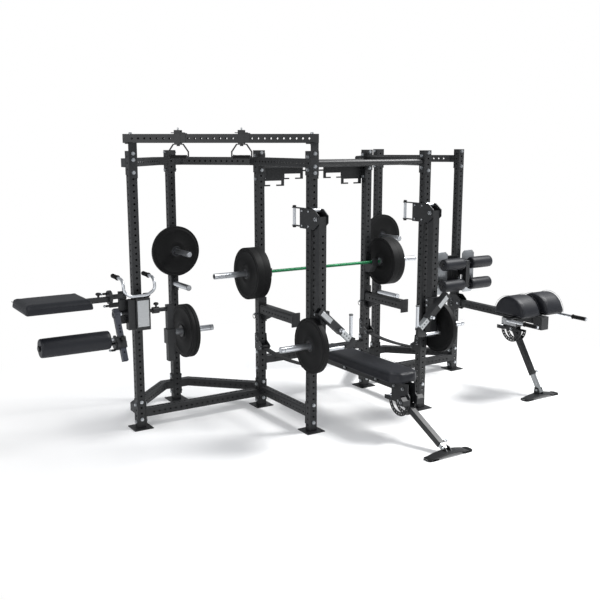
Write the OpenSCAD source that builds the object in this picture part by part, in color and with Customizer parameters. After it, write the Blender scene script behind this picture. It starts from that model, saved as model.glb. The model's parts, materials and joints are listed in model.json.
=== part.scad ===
/* [Frame tube] */
// Outer width of the square frame tube
tube = 70; // [60:1:80]
// Corner radius of the frame tube
tube_r = 5; // [2:0.5:8]
// Wall of the frame tube
wall = 3; // [2:0.5:5]
// Diameter of the punched holes
hole_d = 17; // [16.6:0.2:20]
// Spacing of the punched holes
pitch = 50; // [50:1:54]

/* [Cage layout] */
// Height of the eight uprights
post_h = 2300; // [2280:10:2400]
// Spacing of the cage uprights across the front
cage_w = 1170; // [1100:10:1300]
// Spacing of the cage uprights from front to back
cage_d = 840; // [800:10:900]
// Distance from a cage upright out to its wing upright
wing_w = 1170; // [1130:10:1250]
// Distance of the rear apex upright behind the wing line
apex_d = 580; // [560:10:620]
// Height of the lowest hole on a front face
hole_y0 = 80; // [78:1:82]
// Height of the lowest hole on a side face
hole_x0 = 55; // [53:1:57]
// Width of the square base plates
base_w = 165; // [150:1:190]
// Thickness of the base plates
base_t = 8; // [6:1:10]
// Diameter of the floor anchor holes
anchor_d = 14; // [10:1:16]
// Distance of an anchor hole from the centre of its upright
anchor_o = 62; // [58:1:64]

/* [Beam flanges and bolts] */
// Height of a bolting flange
flange_h = 190; // [186:1:196]
// Thickness of a bolting flange
flange_t = 8; // [6:1:10]
// Distance between the two bolts of a flange, in hole spacings
bolt_n = 3; // [3:1:3]
// Diameter of the frame bolts
bolt_d = 16; // [14:0.5:16]
// Thickness of a bolt head or nut
head_t = 10; // [8:1:12]
// Diameter of the washers
washer_d = 30; // [28:1:32]
// Thickness of the washers
washer_t = 3; // [2:0.5:4]

/* [Upper members] */
// Diameter of the round pull-up bar
bar_d = 50; // [32:1:56]
// Height of the raised beam above the top of the uprights
raised_gap = 62; // [60:1:90]
// Length of the raised beam past the centre of its uprights
raised_over = 54; // [45:1:80]
// Thickness of the plates that carry the raised beam
riser_t = 8; // [6:1:10]
// Distance of the first pull-up handle from its upright, along the raised beam
grip_a = 382; // [300:1:450]
// Distance of the second pull-up handle from that upright
grip_b = 886; // [750:1:1000]
// Drop of a pull-up handle
grip_drop = 108; // [95:1:125]
// Thickness of the hook plate
hook_t = 6; // [5:1:8]

/* [Barbell and plates] */
// Diameter of the barbell shaft
shaft_d = 28; // [25:1:30]
// Distance of the barbell in front of the rear uprights
rack_y = 85; // [70:1:95]
// Height of the barbell axis
rack_z = 1249; // [1245:1:1255]
// Distance from the middle of an upright to the nearest barbell collar
collar_gap = 70; // [60:1:80]
// Width of a collar
collar_w = 12; // [8:1:20]
// Diameter of barbell sleeves and loading pegs
sleeve_d = 50; // [46:1:50]
// Length of a barbell sleeve
sleeve_l = 433; // [400:1:440]
// Diameter of the bumper plates
disc_d = 450; // [430:1:460]
// Thickness of one bumper plate on the barbell
disc_t = 63.5; // [50:0.5:66]
// Radial clearance of a bumper plate on its sleeve
disc_c = 0.3; // [0.2:0.1:0.6]
// Radial clearance of a running bearing
run_c = 0.1; // [0.06:0.01:0.2]
// Working gap between pieces that slide past each other
slide_c = 0.3; // [0.2:0.1:0.5]

/* [Bench] */
// Width of the bench pad
pad_w = 300; // [260:5:340]
// Length of the bench pad
pad_l = 1215; // [1180:5:1225]
// Thickness of the bench pad
pad_t = 80; // [60:1:90]
// Height of the underside of the bench pad
pad_z = 455; // [452:1:470]
// Height of the middle of the bench tube
bench_z = 405; // [400:1:408]
// Angle of the front leg below level
bench_a = 26.9; // [25:0.1:30]
// Width of the adjustable legs
leg_w = 50; // [44:1:50]
// Width of the inner tube of an adjustable leg
leg_in = 38; // [34:1:40]
// Radius of the angle selector rings
ring_r = 130; // [120:1:135]
// Thickness of a selector ring plate
ring_t = 6; // [5:0.5:7]

/* [Jammer arms] */
// Height of the arm pivot
jam_z = 1775; // [1765:1:1785]
// Length of the arm tube below the pivot
jam_l = 1085; // [1060:5:1100]
// Thickness of the carriage side plates
car_t = 8; // [6:1:10]
// Gap between a carriage side plate and its upright
car_gap = 4; // [3:0.5:5]
// Radius of the carriage rollers
roll_r = 22; // [18:1:24]
// Width of the diagonal sleeve
diag_w = 60; // [56:1:66]
// Angle of the diagonal sleeve below level
diag_a = 41.7; // [40:0.1:44]
// Diameter of the chrome handles
hand_d = 28; // [25:1:32]

/* [Leg machine] */
// Height of the leg machine shaft
leg_z = 1010; // [1000:1:1020]
// Diameter of the leg machine shaft
leg_shaft = 30; // [26:1:32]
// Width of the lever tube
lever_w = 45; // [40:1:48]
// Angle of the lever from the vertical
lever_a = 25.5; // [22:0.5:28]
// Diameter of the long foam roller
foam_d = 150; // [130:1:156]
// Length of the long foam roller
foam_l = 545; // [500:5:560]
// Length of the leg machine pad
seat_l = 519; // [480:1:540]
// Width of the leg machine pad
seat_w = 430; // [400:5:440]
// Thickness of the leg machine pad
seat_t = 75; // [70:1:80]

/* [Back machine] */
// Height of the middle of the back machine beam
ghd_z = 730; // [726:1:734]
// Radius of the half-round pads
half_r = 188; // [170:1:195]
// Length of one half-round pad
half_l = 234; // [220:1:240]
// Gap between the half-round pads
half_gap = 84; // [70:1:100]
// Angle of the rear leg below level
ghd_a = 57.4; // [55:0.1:60]
// Radius of the ankle rollers
ankle_r = 60; // [50:1:64]
// Length of one ankle roller
ankle_l = 270; // [240:5:280]

/* [Hidden] */
$fn = 48;

ht = tube / 2;
xc = cage_w / 2;
yc = cage_d / 2;
xa = xc + wing_w;
shaft_l = 2 * (xc + collar_gap);
xb = xc + wing_w / 2;
yb = yc + apex_d;
span = bolt_n * pitch;
// Levels of the beams, each centred between two holes that carry its bolts
z_depth = hole_y0 + span / 2;
z_wing = hole_x0 + span / 2;
top_n = floor((post_h - 10 - hole_y0) / pitch);
z_top_bolt = hole_y0 + top_n * pitch;
z_top = z_top_bolt - span / 2;
z_topx = hole_x0 + top_n * pitch;
z_cross = hole_x0 + 6 * pitch + span / 2;
front = -yc - ht;
rear_face = yc - ht;
black = "#26282a";
vinyl = "#1c1e22";
rubber = "#161718";
chrome = "#c9ccd0";
zinc = "#b4b8bc";
silver = "#a9abad";
slate = "#4a4d57";
panel = "#9b9d9e";

// Square section with rounded corners
module rsq(s, r) {
  square([s - 2 * r, s], center = true);
  square([s, s - 2 * r], center = true);
  for (x = [-1, 1], y = [-1, 1])
    translate([x * (s / 2 - r), y * (s / 2 - r)]) circle(r = r, $fn = 32);
}

module along_x() { rotate([0, 90, 0]) children(); }
module along_y() { rotate([-90, 0, 0]) children(); }

// Round bar along X from x0 to x1
module rod_x(x0, x1, y, z, d) {
  translate([x0, y, z]) along_x() cylinder(d = d, h = x1 - x0);
}
// Round bar along Y from y0 to y1
module rod_y(x, y0, y1, z, d) {
  translate([x, y0, z]) along_y() cylinder(d = d, h = y1 - y0);
}
// Round bar along Z from z0 to z1
module rod_z(x, y, z0, z1, d) {
  translate([x, y, z0]) cylinder(d = d, h = z1 - z0);
}
// Box between two opposite corners
module box(a, b) { translate(a) cube([b[0] - a[0], b[1] - a[1], b[2] - a[2]]); }

// Round bar between two points
module rod(a, b, d) {
  v = b - a;
  l = norm(v);
  translate(a) rotate([0, acos(v[2] / l), atan2(v[1], v[0])]) cylinder(d = d, h = l);
}

// Outline in the YZ plane, extruded along X from x0 to x1
module slab_x(x0, x1) {
  translate([x0, 0, 0]) rotate([90, 0, 90]) linear_extrude(x1 - x0) children();
}

// Square tube along Z, punched through along Y at the heights a and along X at the heights b
module perf_tube(l, s, w, r, a = [], b = []) {
  difference() {
    linear_extrude(l) rsq(s, r);
    translate([0, 0, -1]) linear_extrude(l + 2) square(s - 2 * w, center = true);
    for (z = a) translate([0, 0, z]) rotate([90, 0, 0]) cylinder(d = hole_d, h = s + 2, center = true);
    for (z = b) translate([0, 0, z]) rotate([0, 90, 0]) cylinder(d = hole_d, h = s + 2, center = true);
  }
}

// Upright with its base plate; z1 are the heights of the bores along Y, z2 those along X
module upright(z1, z2) {
  difference() {
    union() {
      linear_extrude(post_h) rsq(tube, tube_r);
      translate([-base_w / 2, -base_w / 2, 0]) cube([base_w, base_w, base_t]);
    }
    translate([0, 0, base_t]) linear_extrude(post_h) square(tube - 2 * wall, center = true);
    for (z = z1) translate([0, 0, z]) rotate([90, 0, 0]) cylinder(d = hole_d, h = tube + 2, center = true);
    for (z = z2) translate([0, 0, z]) rotate([0, 90, 0]) cylinder(d = hole_d, h = tube + 2, center = true);
    for (x = [-1, 1], y = [-1, 1])
      translate([x * anchor_o, y * anchor_o, -1]) cylinder(d = anchor_d, h = base_t + 2);
  }
}
rows_y = [for (k = [0:top_n]) hole_y0 + k * pitch];
rows_x = [for (k = [0:top_n]) hole_x0 + k * pitch];

// Flange in the YZ plane from x = 0 to flange_t with its bolt holes
module flange(h = flange_h, s = span) {
  difference() {
    translate([0, -ht, -h / 2]) cube([flange_t, tube, h]);
    for (k = [-1, 1]) translate([-1, 0, k * s / 2]) along_x() cylinder(d = hole_d, h = flange_t + 2);
  }
}

// Straight beam along X from 0 to l with a flange at each end and n rows of holes
module flanged_beam(l, n) {
  hs = [for (k = [0:n - 1]) l / 2 - flange_t + (k - (n - 1) / 2) * pitch];
  flange();
  translate([l - flange_t, 0, 0]) flange();
  translate([flange_t, 0, 0]) along_x() perf_tube(l - 2 * flange_t, tube, wall, tube_r, hs, hs);
}

// Outline of a path of constant width, with mitred corners
function unit(v) = v / norm(v);
function nrm(a, b) = let(d = unit(b - a)) [-d[1], d[0]];
function off_pt(p, i, h) =
  i == 0 ? p[0] + h * nrm(p[0], p[1]) :
  i == len(p) - 1 ? p[i] + h * nrm(p[i - 1], p[i]) :
  let(n1 = nrm(p[i - 1], p[i]), n2 = nrm(p[i], p[i + 1])) p[i] + h * (n1 + n2) / (1 + n1 * n2);
function band(p, h) = concat([for (i = [0:len(p) - 1]) off_pt(p, i, h)],
  [for (i = [len(p) - 1:-1:0]) off_pt(p, i, -h)]);

// Bent beam from the rear face of an upright to the side face of the apex upright.
// The run leaves the upright straight back, turns 45 degrees, then meets the apex level with X.
bend_x = 125;
run = wing_w / 2 - bend_x;
y_bend = yb - run;
module bent_beam() {
  p = [[0, yc + ht + flange_t], [0, y_bend], [run, yb], [wing_w / 2 - ht - flange_t, yb]];
  leg = norm(p[2] - p[1]);
  difference() {
    translate([0, 0, -ht]) linear_extrude(tube) polygon(band(p, ht));
    translate([0, 0, -ht + wall]) linear_extrude(tube - 2 * wall) polygon(band(
      [p[0] - [0, 1], p[1], p[2], p[3] + [1, 0]], ht - wall));
    for (k = [-5:5]) translate([run / 2, (y_bend + yb) / 2, 0]) rotate(45) translate([k * pitch, 0, 0]) {
      cylinder(d = hole_d, h = tube + 2, center = true);
      rotate([90, 0, 0]) cylinder(d = hole_d, h = tube + 2, center = true);
    }
  }
  translate([0, yc + ht, 0]) rotate(90) flange();
  translate([wing_w / 2 - ht - flange_t, yb, 0]) flange();
}

module bent_pair(z) {
  translate([-xa, 0, z]) bent_beam();
  translate([-xc, 0, z]) mirror([1, 0, 0]) bent_beam();
}

module uprights_cage_rear() color(black)
  for (s = [-1, 1]) translate([s * xc, yc, 0]) upright(rows_y, rows_x);
module uprights_cage_front() color(black)
  for (s = [-1, 1]) translate([s * xc, -yc, 0]) upright(rows_y, rows_x);
module uprights_wing() color(black)
  for (s = [-1, 1]) translate([s * xa, yc, 0]) upright(rows_y, rows_x);
module uprights_apex() color(black)
  for (s = [-1, 1]) translate([s * xb, yb, 0]) upright(rows_x, rows_y);

module bent_beams_low_left() color(black) bent_pair(z_depth);
module bent_beams_low_right() color(black) mirror([1, 0, 0]) bent_pair(z_depth);
module bent_beams_top_left() color(black) bent_pair(z_top);
module bent_beams_top_right() color(black) mirror([1, 0, 0]) bent_pair(z_top);

depth_l = cage_d - tube;
wing_l = wing_w - tube;
module depth_pair(z) {
  for (s = [-1, 1]) translate([s * xc, -yc + ht, z]) rotate(90) flanged_beam(depth_l, 15);
}
module depth_beams_low() color(black) depth_pair(z_depth);
module depth_beams_top() color(black) depth_pair(z_top);
module wing_beams_low() color(black)
  for (x = [-xa + ht, xc + ht]) translate([x, yc, z_wing]) flanged_beam(wing_l, 20);

cross_l = cage_w - tube;
module pullup_bar() color(black) translate([-xc + ht, -yc, z_topx - pitch]) {
  flange(s = 2 * pitch);
  translate([cross_l - flange_t, 0, 0]) flange(s = 2 * pitch);
  along_x() translate([0, 0, flange_t]) cylinder(d = bar_d, h = cross_l - 2 * flange_t);
}

// Rear top member with a stepped plate of T-slot hooks below it
hook_span = 4 * pitch;
z_hook = z_topx - hook_span / 2;
module hook_plate_outline() {
  zb = z_hook + 25 - ht;
  xe = xc - ht - flange_t;
  difference() {
    union() {
      translate([-xe, zb - 35]) square([2 * xe, 35]);
      for (s = [-1, 1]) {
        translate([s > 0 ? 112 : -xe, zb - 102]) square([xe - 112, 90]);
        translate([s > 0 ? 312 : -xe, zb - 160]) square([xe - 312, 90]);
      }
    }
    translate([-112, zb - 21]) square([224, 22]);
    for (s = [-1, 1]) {
      translate([s > 0 ? 140 : -308, zb - 90]) square([168, 36]);
      translate([s * 226 - 32, zb - 103]) square([64, 30]);
      translate([s > 0 ? 340 : -508, zb - 147]) square([168, 34]);
      translate([s * 424 - 32, zb - 161]) square([64, 30]);
    }
  }
}
module hook_member() color(black) {
  translate([-xc + ht, yc, z_hook]) {
    flange(h = hook_span + 40, s = hook_span);
    translate([cross_l - flange_t, 0, 0]) flange(h = hook_span + 40, s = hook_span);
    translate([flange_t, 0, 25]) along_x() perf_tube(cross_l - 2 * flange_t, tube, wall, tube_r);
  }
  translate([0, yc + ht, 0]) rotate([90, 0, 0]) linear_extrude(hook_t) hook_plate_outline();
  for (s = [-1, 1]) translate([s * (xc - ht - flange_t - 37), yc, z_hook + 25 + ht + 9.5])
    cube([74, tube - 10, 19], center = true);
}

// Low crossmember that carries the bench
module bench_crossmember() color(black)
  translate([-xc + ht, yc, z_cross]) flanged_beam(cross_l, 19);

// Raised beam across the open corner, on two riser plates
z_raised = post_h + raised_gap + ht;
rise_v = [xa - xc, -cage_d];
rise_l = norm(rise_v);
rise_a = atan2(rise_v[1], rise_v[0]);
rise_c = [-(xa + xc) / 2, 0];
riser_b = post_h - 215;
module riser(y, zs) {
  translate([0, y - riser_t, riser_b]) difference() {
    translate([-ht, 0, 0]) cube([tube, riser_t, post_h + raised_gap - riser_b]);
    for (z = zs) translate([0, -1, z - riser_b]) along_y() cylinder(d = hole_d, h = riser_t + 2);
  }
  difference() {
    translate([-ht, y - riser_t, post_h + raised_gap - riser_t]) cube([tube, tube + riser_t, riser_t]);
    translate([0, y + ht, post_h]) cylinder(d = hole_d + 1, h = raised_gap + 5);
  }
}
riser_za = [z_top_bolt, z_top_bolt - pitch, z_top_bolt - span];
riser_zd = [z_top_bolt, z_top_bolt - 2 * pitch, z_top_bolt - span];
module raised_beam() color(black) {
  l = rise_l + 2 * raised_over;
  translate([rise_c[0], rise_c[1], z_raised]) rotate(rise_a) translate([-l / 2, 0, 0]) along_x()
    difference() {
      linear_extrude(l) rsq(tube, tube_r);
      translate([0, 0, -1]) linear_extrude(l + 2) square(tube - 2 * wall, center = true);
      for (k = [-14:14]) translate([0, 0, l / 2 + k * pitch]) rotate([90, 0, 0])
        cylinder(d = hole_d, h = tube + 2, center = true);
      for (k = [-1, 1]) translate([0, 0, l / 2 + k * rise_l / 2]) rotate([0, 90, 0])
        cylinder(d = hole_d, h = tube + 2, center = true);
    }
  translate([-xa, 0, 0]) riser(yc - ht, riser_za);
  translate([-xc, 0, 0]) riser(-yc - ht, riser_zd);
  for (d = [grip_a, grip_b]) handle_clamp(d);
}

// Bolt along +Z: the head sits below z = 0, the nut above z = grip
module bolt(grip) {
  translate([0, 0, -washer_t]) cylinder(d = washer_d, h = washer_t);
  translate([0, 0, -washer_t - head_t]) cylinder(d = 1.5 * bolt_d + 3, h = head_t, $fn = 6);
  translate([0, 0, -washer_t - 1]) cylinder(d = bolt_d, h = grip + 2 * washer_t + head_t + 5);
  translate([0, 0, grip]) cylinder(d = washer_d, h = washer_t);
  translate([0, 0, grip + washer_t]) cylinder(d = 1.5 * bolt_d + 3, h = head_t, $fn = 6);
}
module bolt_y(x, z, y0, y1) { translate([x, y0, z]) along_y() bolt(y1 - y0); }
module bolt_x(y, z, x0, x1) { translate([x0, y, z]) along_x() bolt(x1 - x0); }
// Short bolt along +Y whose nut is inside the upright
module bolt_in(x, z, y0, g) {
  translate([x, y0, z]) along_y() {
    translate([0, 0, -washer_t]) cylinder(d = washer_d, h = washer_t);
    translate([0, 0, -washer_t - head_t]) cylinder(d = 1.5 * bolt_d + 3, h = head_t, $fn = 6);
    translate([0, 0, -washer_t - 1]) cylinder(d = bolt_d, h = washer_t + g + head_t + 3);
    translate([0, 0, g]) cylinder(d = 1.5 * bolt_d + 3, h = head_t, $fn = 6);
  }
}

low_y = [hole_y0, hole_y0 + span];
top_y = [z_top_bolt - span, z_top_bolt];
low_x = [hole_x0, hole_x0 + span];
cross_x = [z_cross - span / 2, z_cross + span / 2];
hook_x = [z_hook - hook_span / 2, z_hook + hook_span / 2];
bar_x = [z_topx - 2 * pitch, z_topx];
peg_z = [hole_x0 + 27 * pitch, hole_x0 + 21 * pitch, hole_x0 + 15 * pitch];
module frame_bolts() color(zinc) {
  yf = yc - ht;
  yr = yc + ht;
  ft = flange_t;
  // Bolts through the wing uprights
  for (z = low_y) bolt_y(-xa, z, yf, yr + ft);
  for (z = top_y) bolt_y(-xa, z, yf - riser_t, yr + ft);
  bolt_in(-xa, z_top_bolt - pitch, yf - riser_t, riser_t + wall);
  for (z = concat(low_y, top_y)) bolt_y(xa, z, yf, yr + ft);
  for (z = low_x) {
    bolt_x(yc, z, -xa - ht, -xa + ht + ft);
    bolt_x(yc, z, xa - ht - ft, xa + ht);
    bolt_x(yc, z, -xc - ht - ft, -xc + ht);
    bolt_x(yc, z, xc - ht, xc + ht + ft);
  }
  // Bolts through the rear cage uprights
  for (s = [-1, 1], z = concat(low_y, top_y)) bolt_y(s * xc, z, yf - ft, yr + ft);
  for (z = concat(cross_x, hook_x)) {
    bolt_x(yc, z, -xc - ht, -xc + ht + ft);
    bolt_x(yc, z, xc - ht - ft, xc + ht);
  }
  // Bolts through the front cage uprights
  for (z = low_y) bolt_y(-xc, z, front, front + tube + ft);
  for (z = top_y) bolt_y(-xc, z, front - riser_t, front + tube + ft);
  bolt_in(-xc, z_top_bolt - 2 * pitch, front - riser_t, riser_t + wall);
  for (z = concat(low_y, top_y)) bolt_y(xc, z, front, front + tube + ft);
  for (z = bar_x) {
    bolt_x(-yc, z, -xc - ht, -xc + ht + ft);
    bolt_x(-yc, z, xc - ht - ft, xc + ht);
  }
  // Bolts through the apex uprights
  for (s = [-1, 1], z = concat(low_y, top_y)) bolt_x(yb, z, s * xb - ht - ft, s * xb + ht + ft);
  // Bolts of the bench flange, nuts inside the crossmember
  for (x = [-pitch, pitch]) translate([x, rear_face - 8, z_cross]) along_y() bolt(8 + tube);
  // Bolts down through the raised beam into its risers
  for (p = [[-xa, yc], [-xc, -yc]])
    translate([p[0], p[1], z_raised + ht]) rotate([180, 0, 0]) bolt(tube + riser_t);
}

// Plugs in the open tops of the uprights and the ends of the raised beam
module tube_plugs() color(rubber) {
  pw = tube - 2 * wall;
  for (p = [[-xa, yc], [xa, yc], [-xc, yc], [xc, yc], [-xc, -yc], [xc, -yc], [-xb, yb], [xb, yb]])
    translate([p[0] - pw / 2, p[1] - pw / 2, post_h - 8]) cube([pw, pw, 8]);
  l = rise_l + 2 * raised_over;
  translate([rise_c[0], rise_c[1], z_raised]) rotate(rise_a)
    for (x = [-l / 2, l / 2 - 8]) translate([x, -pw / 2, -pw / 2]) cube([8, pw, pw]);
}

// ---------- Attachments of the cage ----------
yrk = rear_face;
bar_y = yrk - rack_y;
cup_w = tube - 6;
liner_t = 10;
cup_z = rack_z - shaft_d / 2 - slide_c;
j_lo = hole_y0 + 22 * pitch;
j_hi = j_lo + 2 * pitch;
cup_front = bar_y - shaft_d / 2 - 24;

// J-cups: a hooked plate with a lined seat and a front lip
module j_cups() for (s = [-1, 1]) translate([s * xc, 0, 0]) {
  color(black) {
    difference() {
      slab_x(-cup_w / 2, cup_w / 2) polygon([[yrk, j_lo - 30], [yrk, j_hi + 40], [yrk - 8, j_hi + 40],
        [yrk - 8, cup_z - liner_t], [cup_front + 8, cup_z - liner_t], [cup_front + 8, cup_z + 48],
        [cup_front, cup_z + 48], [cup_front, cup_z - liner_t - 8], [yrk - 60, j_lo - 30]]);
      slab_x(-cup_w / 2 + 6, cup_w / 2 - 6) polygon([[yrk - 8, j_lo - 22], [yrk - 8, cup_z - liner_t - 8],
        [cup_front + 10, cup_z - liner_t - 8], [yrk - 56, j_lo - 22]]);
    }
    for (z = [j_lo, j_hi]) rod_y(0, yrk - 1, yrk + tube - 10, z, bolt_d);
  }
  color(vinyl) box([-cup_w / 2 + 2, cup_front + 8, cup_z - liner_t], [cup_w / 2 - 2, yrk - 8, cup_z]);
}

arm_y1 = -175;
arm_z = 903;
pin_lo = hole_x0 + 16 * pitch;
// Spotter arms: a lined beam on a bracket pinned round the upright
module spotter_arms() for (s = [-1, 1]) translate([s * xc, 0, 0]) {
  color(black) {
    difference() {
      translate([0, yrk - 8, arm_z]) rotate([90, 0, 0]) linear_extrude(yrk - 8 - arm_y1) rsq(tube, tube_r);
      translate([0, yrk - 7, arm_z]) rotate([90, 0, 0]) linear_extrude(yrk - 7 - arm_y1) square(tube - 2 * wall, center = true);
      for (k = [0:8]) translate([0, arm_y1 + 75 + k * pitch, arm_z]) along_x() cylinder(d = hole_d, h = tube + 2, center = true);
    }
    box([-ht - 6, yrk - 8, arm_z - 115], [ht + 6, yrk - 0.5, arm_z + 105]);
    for (x = [-ht - 6, ht]) box([x, yrk - 1, arm_z - 80], [x + 6, yrk + 1, arm_z + 80]);
    slab_x(-4, 4) polygon([[yrk - 8, arm_z - ht], [yrk - 8, arm_z - 105], [yrk - 30, arm_z - 105], [190, arm_z - ht]]);
    box([-40, arm_y1 - 10, arm_z - 63], [40, arm_y1, arm_z + 57]);
    difference() {
      for (x = [-ht - 6, ht]) box([x, yrk, arm_z - 80], [x + 6, yrk + 55, arm_z + 80]);
      translate([0, yrk + ht, pin_lo]) along_x() cylinder(d = hole_d, h = tube + 40, center = true);
    }
  }
  color(zinc) {
    rod_x(-ht - 28, ht + 24, yrk + ht, pin_lo, bolt_d);
    translate([-ht - 30, yrk + ht, pin_lo - 18]) along_x() rotate_extrude() translate([20, 0]) circle(d = 5);
  }
  color(vinyl) box([-ht + 2, arm_y1 + 2, arm_z + ht], [ht - 2, yrk - 8, arm_z + ht + 10]);
}

strap_z = 562;
strap_y = yrk - 43;
strap_t = 8;
s_out = [for (k = [11, 12]) hole_x0 + k * pitch];
module strap_side() {
  difference() {
    slab_x(0, 8) polygon([[yrk + 65, strap_z + 113], [yrk, strap_z + 113], [yrk - 8, strap_z + 50], [strap_y - 16, strap_z + 20],
      [strap_y - 16, strap_z - 16], [strap_y, strap_z - 30], [yrk + 65, strap_z - 30]]);
    for (z = s_out) translate([-1, yrk + ht, z]) along_x() cylinder(d = hole_d, h = 10);
  }
}
// Brackets of the strap safeties, each with a cross bolt that holds the strap
module strap_brackets() for (s = [-1, 1], f = [0, 180]) translate([s * xc, 0, 0]) rotate(f) {
  color(black) {
    translate([ht, 0, 0]) strap_side();
    translate([-ht - 8, 0, 0]) strap_side();
  }
  color(zinc) {
    rod_x(-ht - 18, ht + 18, strap_y, strap_z, bolt_d);
    for (x = [-ht - 16, ht + 8]) translate([x, strap_y, strap_z]) along_x() cylinder(d = 27, h = 8, $fn = 6);
    for (z = s_out) {
      rod_x(-ht - 18, ht + 18, yrk + ht, z, bolt_d);
      for (x = [-ht - 16, ht + 8]) translate([x, yrk + ht, z]) along_x() cylinder(d = 27, h = 8, $fn = 6);
    }
  }
}

strap_sag = 22;
strap_r0 = bolt_d / 2 + 0.2;
strap_arc = (strap_y * strap_y + strap_sag * strap_sag) / (2 * strap_sag);
// Webbing straps that sag between the brackets and loop round their bolts
module straps() color(vinyl) for (s = [-1, 1]) slab_x(s * xc - 30, s * xc + 30) {
  intersection() {
    translate([0, strap_z - strap_r0 - strap_sag + strap_arc]) difference() {
      circle(r = strap_arc + strap_t, $fn = 240);
      circle(r = strap_arc, $fn = 240);
    }
    translate([-strap_y, strap_z - 60]) square([2 * strap_y, 60]);
  }
  for (y = [-strap_y, strap_y]) translate([y, strap_z]) difference() {
    circle(r = strap_r0 + strap_t);
    circle(r = strap_r0);
  }
}

peg_l = 327;
peg_base = 8;
// Storage pegs on the front faces of the apex uprights
peg_at = [[-1, 0, peg_l], [1, 0, peg_l], [-1, 1, peg_l - 30], [1, 2, peg_l - 10]];
module storage_pegs() for (p = peg_at) translate([p[0] * xb, yb - ht, peg_z[p[1]]]) {
  color(black) {
    difference() {
      box([-ht, -peg_base, -65], [ht, 0, 65]);
      for (k = [-1, 1]) translate([0, -peg_base - 1, k * pitch]) along_y() cylinder(d = hole_d, h = peg_base + 2);
    }
    if (p[1] == 0) rod_y(0, -peg_base - 13, -peg_base, 0, 68);
  }
  color(chrome) translate([0, -peg_base, 0]) rotate([90, 0, 0]) cylinder(d = sleeve_d, h = p[2]);
  color(zinc) for (k = [-1, 1]) translate([0, -peg_base, k * pitch]) along_y() bolt(peg_base + tube);
}

// Rubber bumper plate along +Z with a steel hub
module bumper(t) {
  difference() {
    rotate_extrude($fn = 96) polygon([[sleeve_d / 2 + disc_c, 0], [disc_d * 0.19, 0], [disc_d * 0.21, 3],
      [disc_d * 0.4, 3], [disc_d * 0.42, 0], [disc_d / 2 - 4, 0], [disc_d / 2, 4], [disc_d / 2, t - 4],
      [disc_d / 2 - 4, t], [disc_d * 0.42, t], [disc_d * 0.4, t - 3], [disc_d * 0.21, t - 3],
      [disc_d * 0.19, t], [sleeve_d / 2 + disc_c, t]]);
  }
}
store_t = 40;
module storage_discs() color(rubber) for (s = [-1, 1])
  translate([s * xb, yb - ht - peg_base - 13, peg_z[0]]) rotate([90, 0, 0]) bumper(store_t);

// ---------- Barbell ----------
module barbell_shaft() color("#0f7a45") {
  rod_x(-shaft_l / 2, shaft_l / 2, bar_y, rack_z, shaft_d);
  rod_x(-shaft_l / 2 - collar_w - sleeve_l + 12, shaft_l / 2 + collar_w + sleeve_l - 12, bar_y, rack_z, shaft_d - 2);
}
module barbell_sleeve() color(chrome) translate([shaft_l / 2 + slide_c, bar_y, rack_z]) along_x() difference() {
  union() {
    cylinder(d = sleeve_d + 16, h = collar_w);
    cylinder(d = sleeve_d, h = collar_w + sleeve_l);
  }
  translate([0, 0, -1]) cylinder(r = shaft_d / 2 - 1 + run_c, h = collar_w + sleeve_l - 9);
}
module barbell_discs() color(rubber) translate([shaft_l / 2 + slide_c + collar_w, bar_y, rack_z]) along_x()
  for (k = [0, 1]) translate([0, 0, k * disc_t]) bumper(disc_t);
module barbell_sleeve_left() mirror([1, 0, 0]) barbell_sleeve();
module barbell_sleeve_right() barbell_sleeve();
module barbell_discs_left() mirror([1, 0, 0]) barbell_discs();
module barbell_discs_right() barbell_discs();

// ---------- Pull-up handles on the raised beam ----------
clamp_w = 50;
grip_zt = -ht - 6 - slide_c;
clamp_up = 24;
module clamp_box() {
  difference() {
    union() {
      translate([0, 0, clamp_up / 2]) cube([clamp_w, tube + 12, tube + 12 + clamp_up], center = true);
      box([clamp_w / 2 - 1, -ht - 4, -ht + 5], [clamp_w / 2 + 41, ht + 4, ht + 7]);
    }
    cube([3 * clamp_w, tube, tube], center = true);
    translate([0, 0, ht + 6 + clamp_up / 2]) cube([clamp_w + 2, tube, clamp_up - 12], center = true);
  }
  translate([0, 0, ht + clamp_up + 4]) cylinder(d = 12, h = 20);
}
module pullup_handle(d) translate([-xa, yc, z_raised]) rotate(rise_a) translate([d, 0, 0]) {
  zt = grip_zt;
  zb = -ht - grip_drop;
  color(black) {
    translate([0, 0, zt - 8]) difference() {
      translate([-43, -20, 0]) cube([86, 40, 8]);
      translate([0, 0, -1]) cylinder(r = 8 + run_c, h = 10);
    }
    for (s = [-1, 1]) {
      rod([s * 40, 0, zt - 5], [s * 79, 0, zb + 40], 12);
      rod([s * 79, 0, zb + 40], [s * 79, 0, zb], 12);
      translate([s * 79, 0, zb + 40]) sphere(d = 13);
      translate([s * 79, 0, zb]) sphere(d = 13);
    }
    translate([-79, 0, zb]) along_x() cylinder(d = 12, h = 158);
  }
  color(vinyl) translate([-68, 0, zb]) along_x() cylinder(d = 27, h = 136);
}
// The clamp stays with the beam; the handle turns on a pivot below it
module handle_clamp(d) translate([-xa, yc, z_raised]) rotate(rise_a) translate([d, 0, 0]) {
  clamp_box();
  translate([0, 0, ht + 9]) cube([94, tube + 30, 6], center = true);
  translate([0, 0, grip_zt - 8 - slide_c]) cylinder(d = 16, h = 16);
  translate([0, 0, grip_zt - 8 - slide_c - 10]) cylinder(d = 27, h = 10, $fn = 6);
}
module pullup_handle_left() pullup_handle(grip_a);
module pullup_handle_right() pullup_handle(grip_b);

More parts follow.
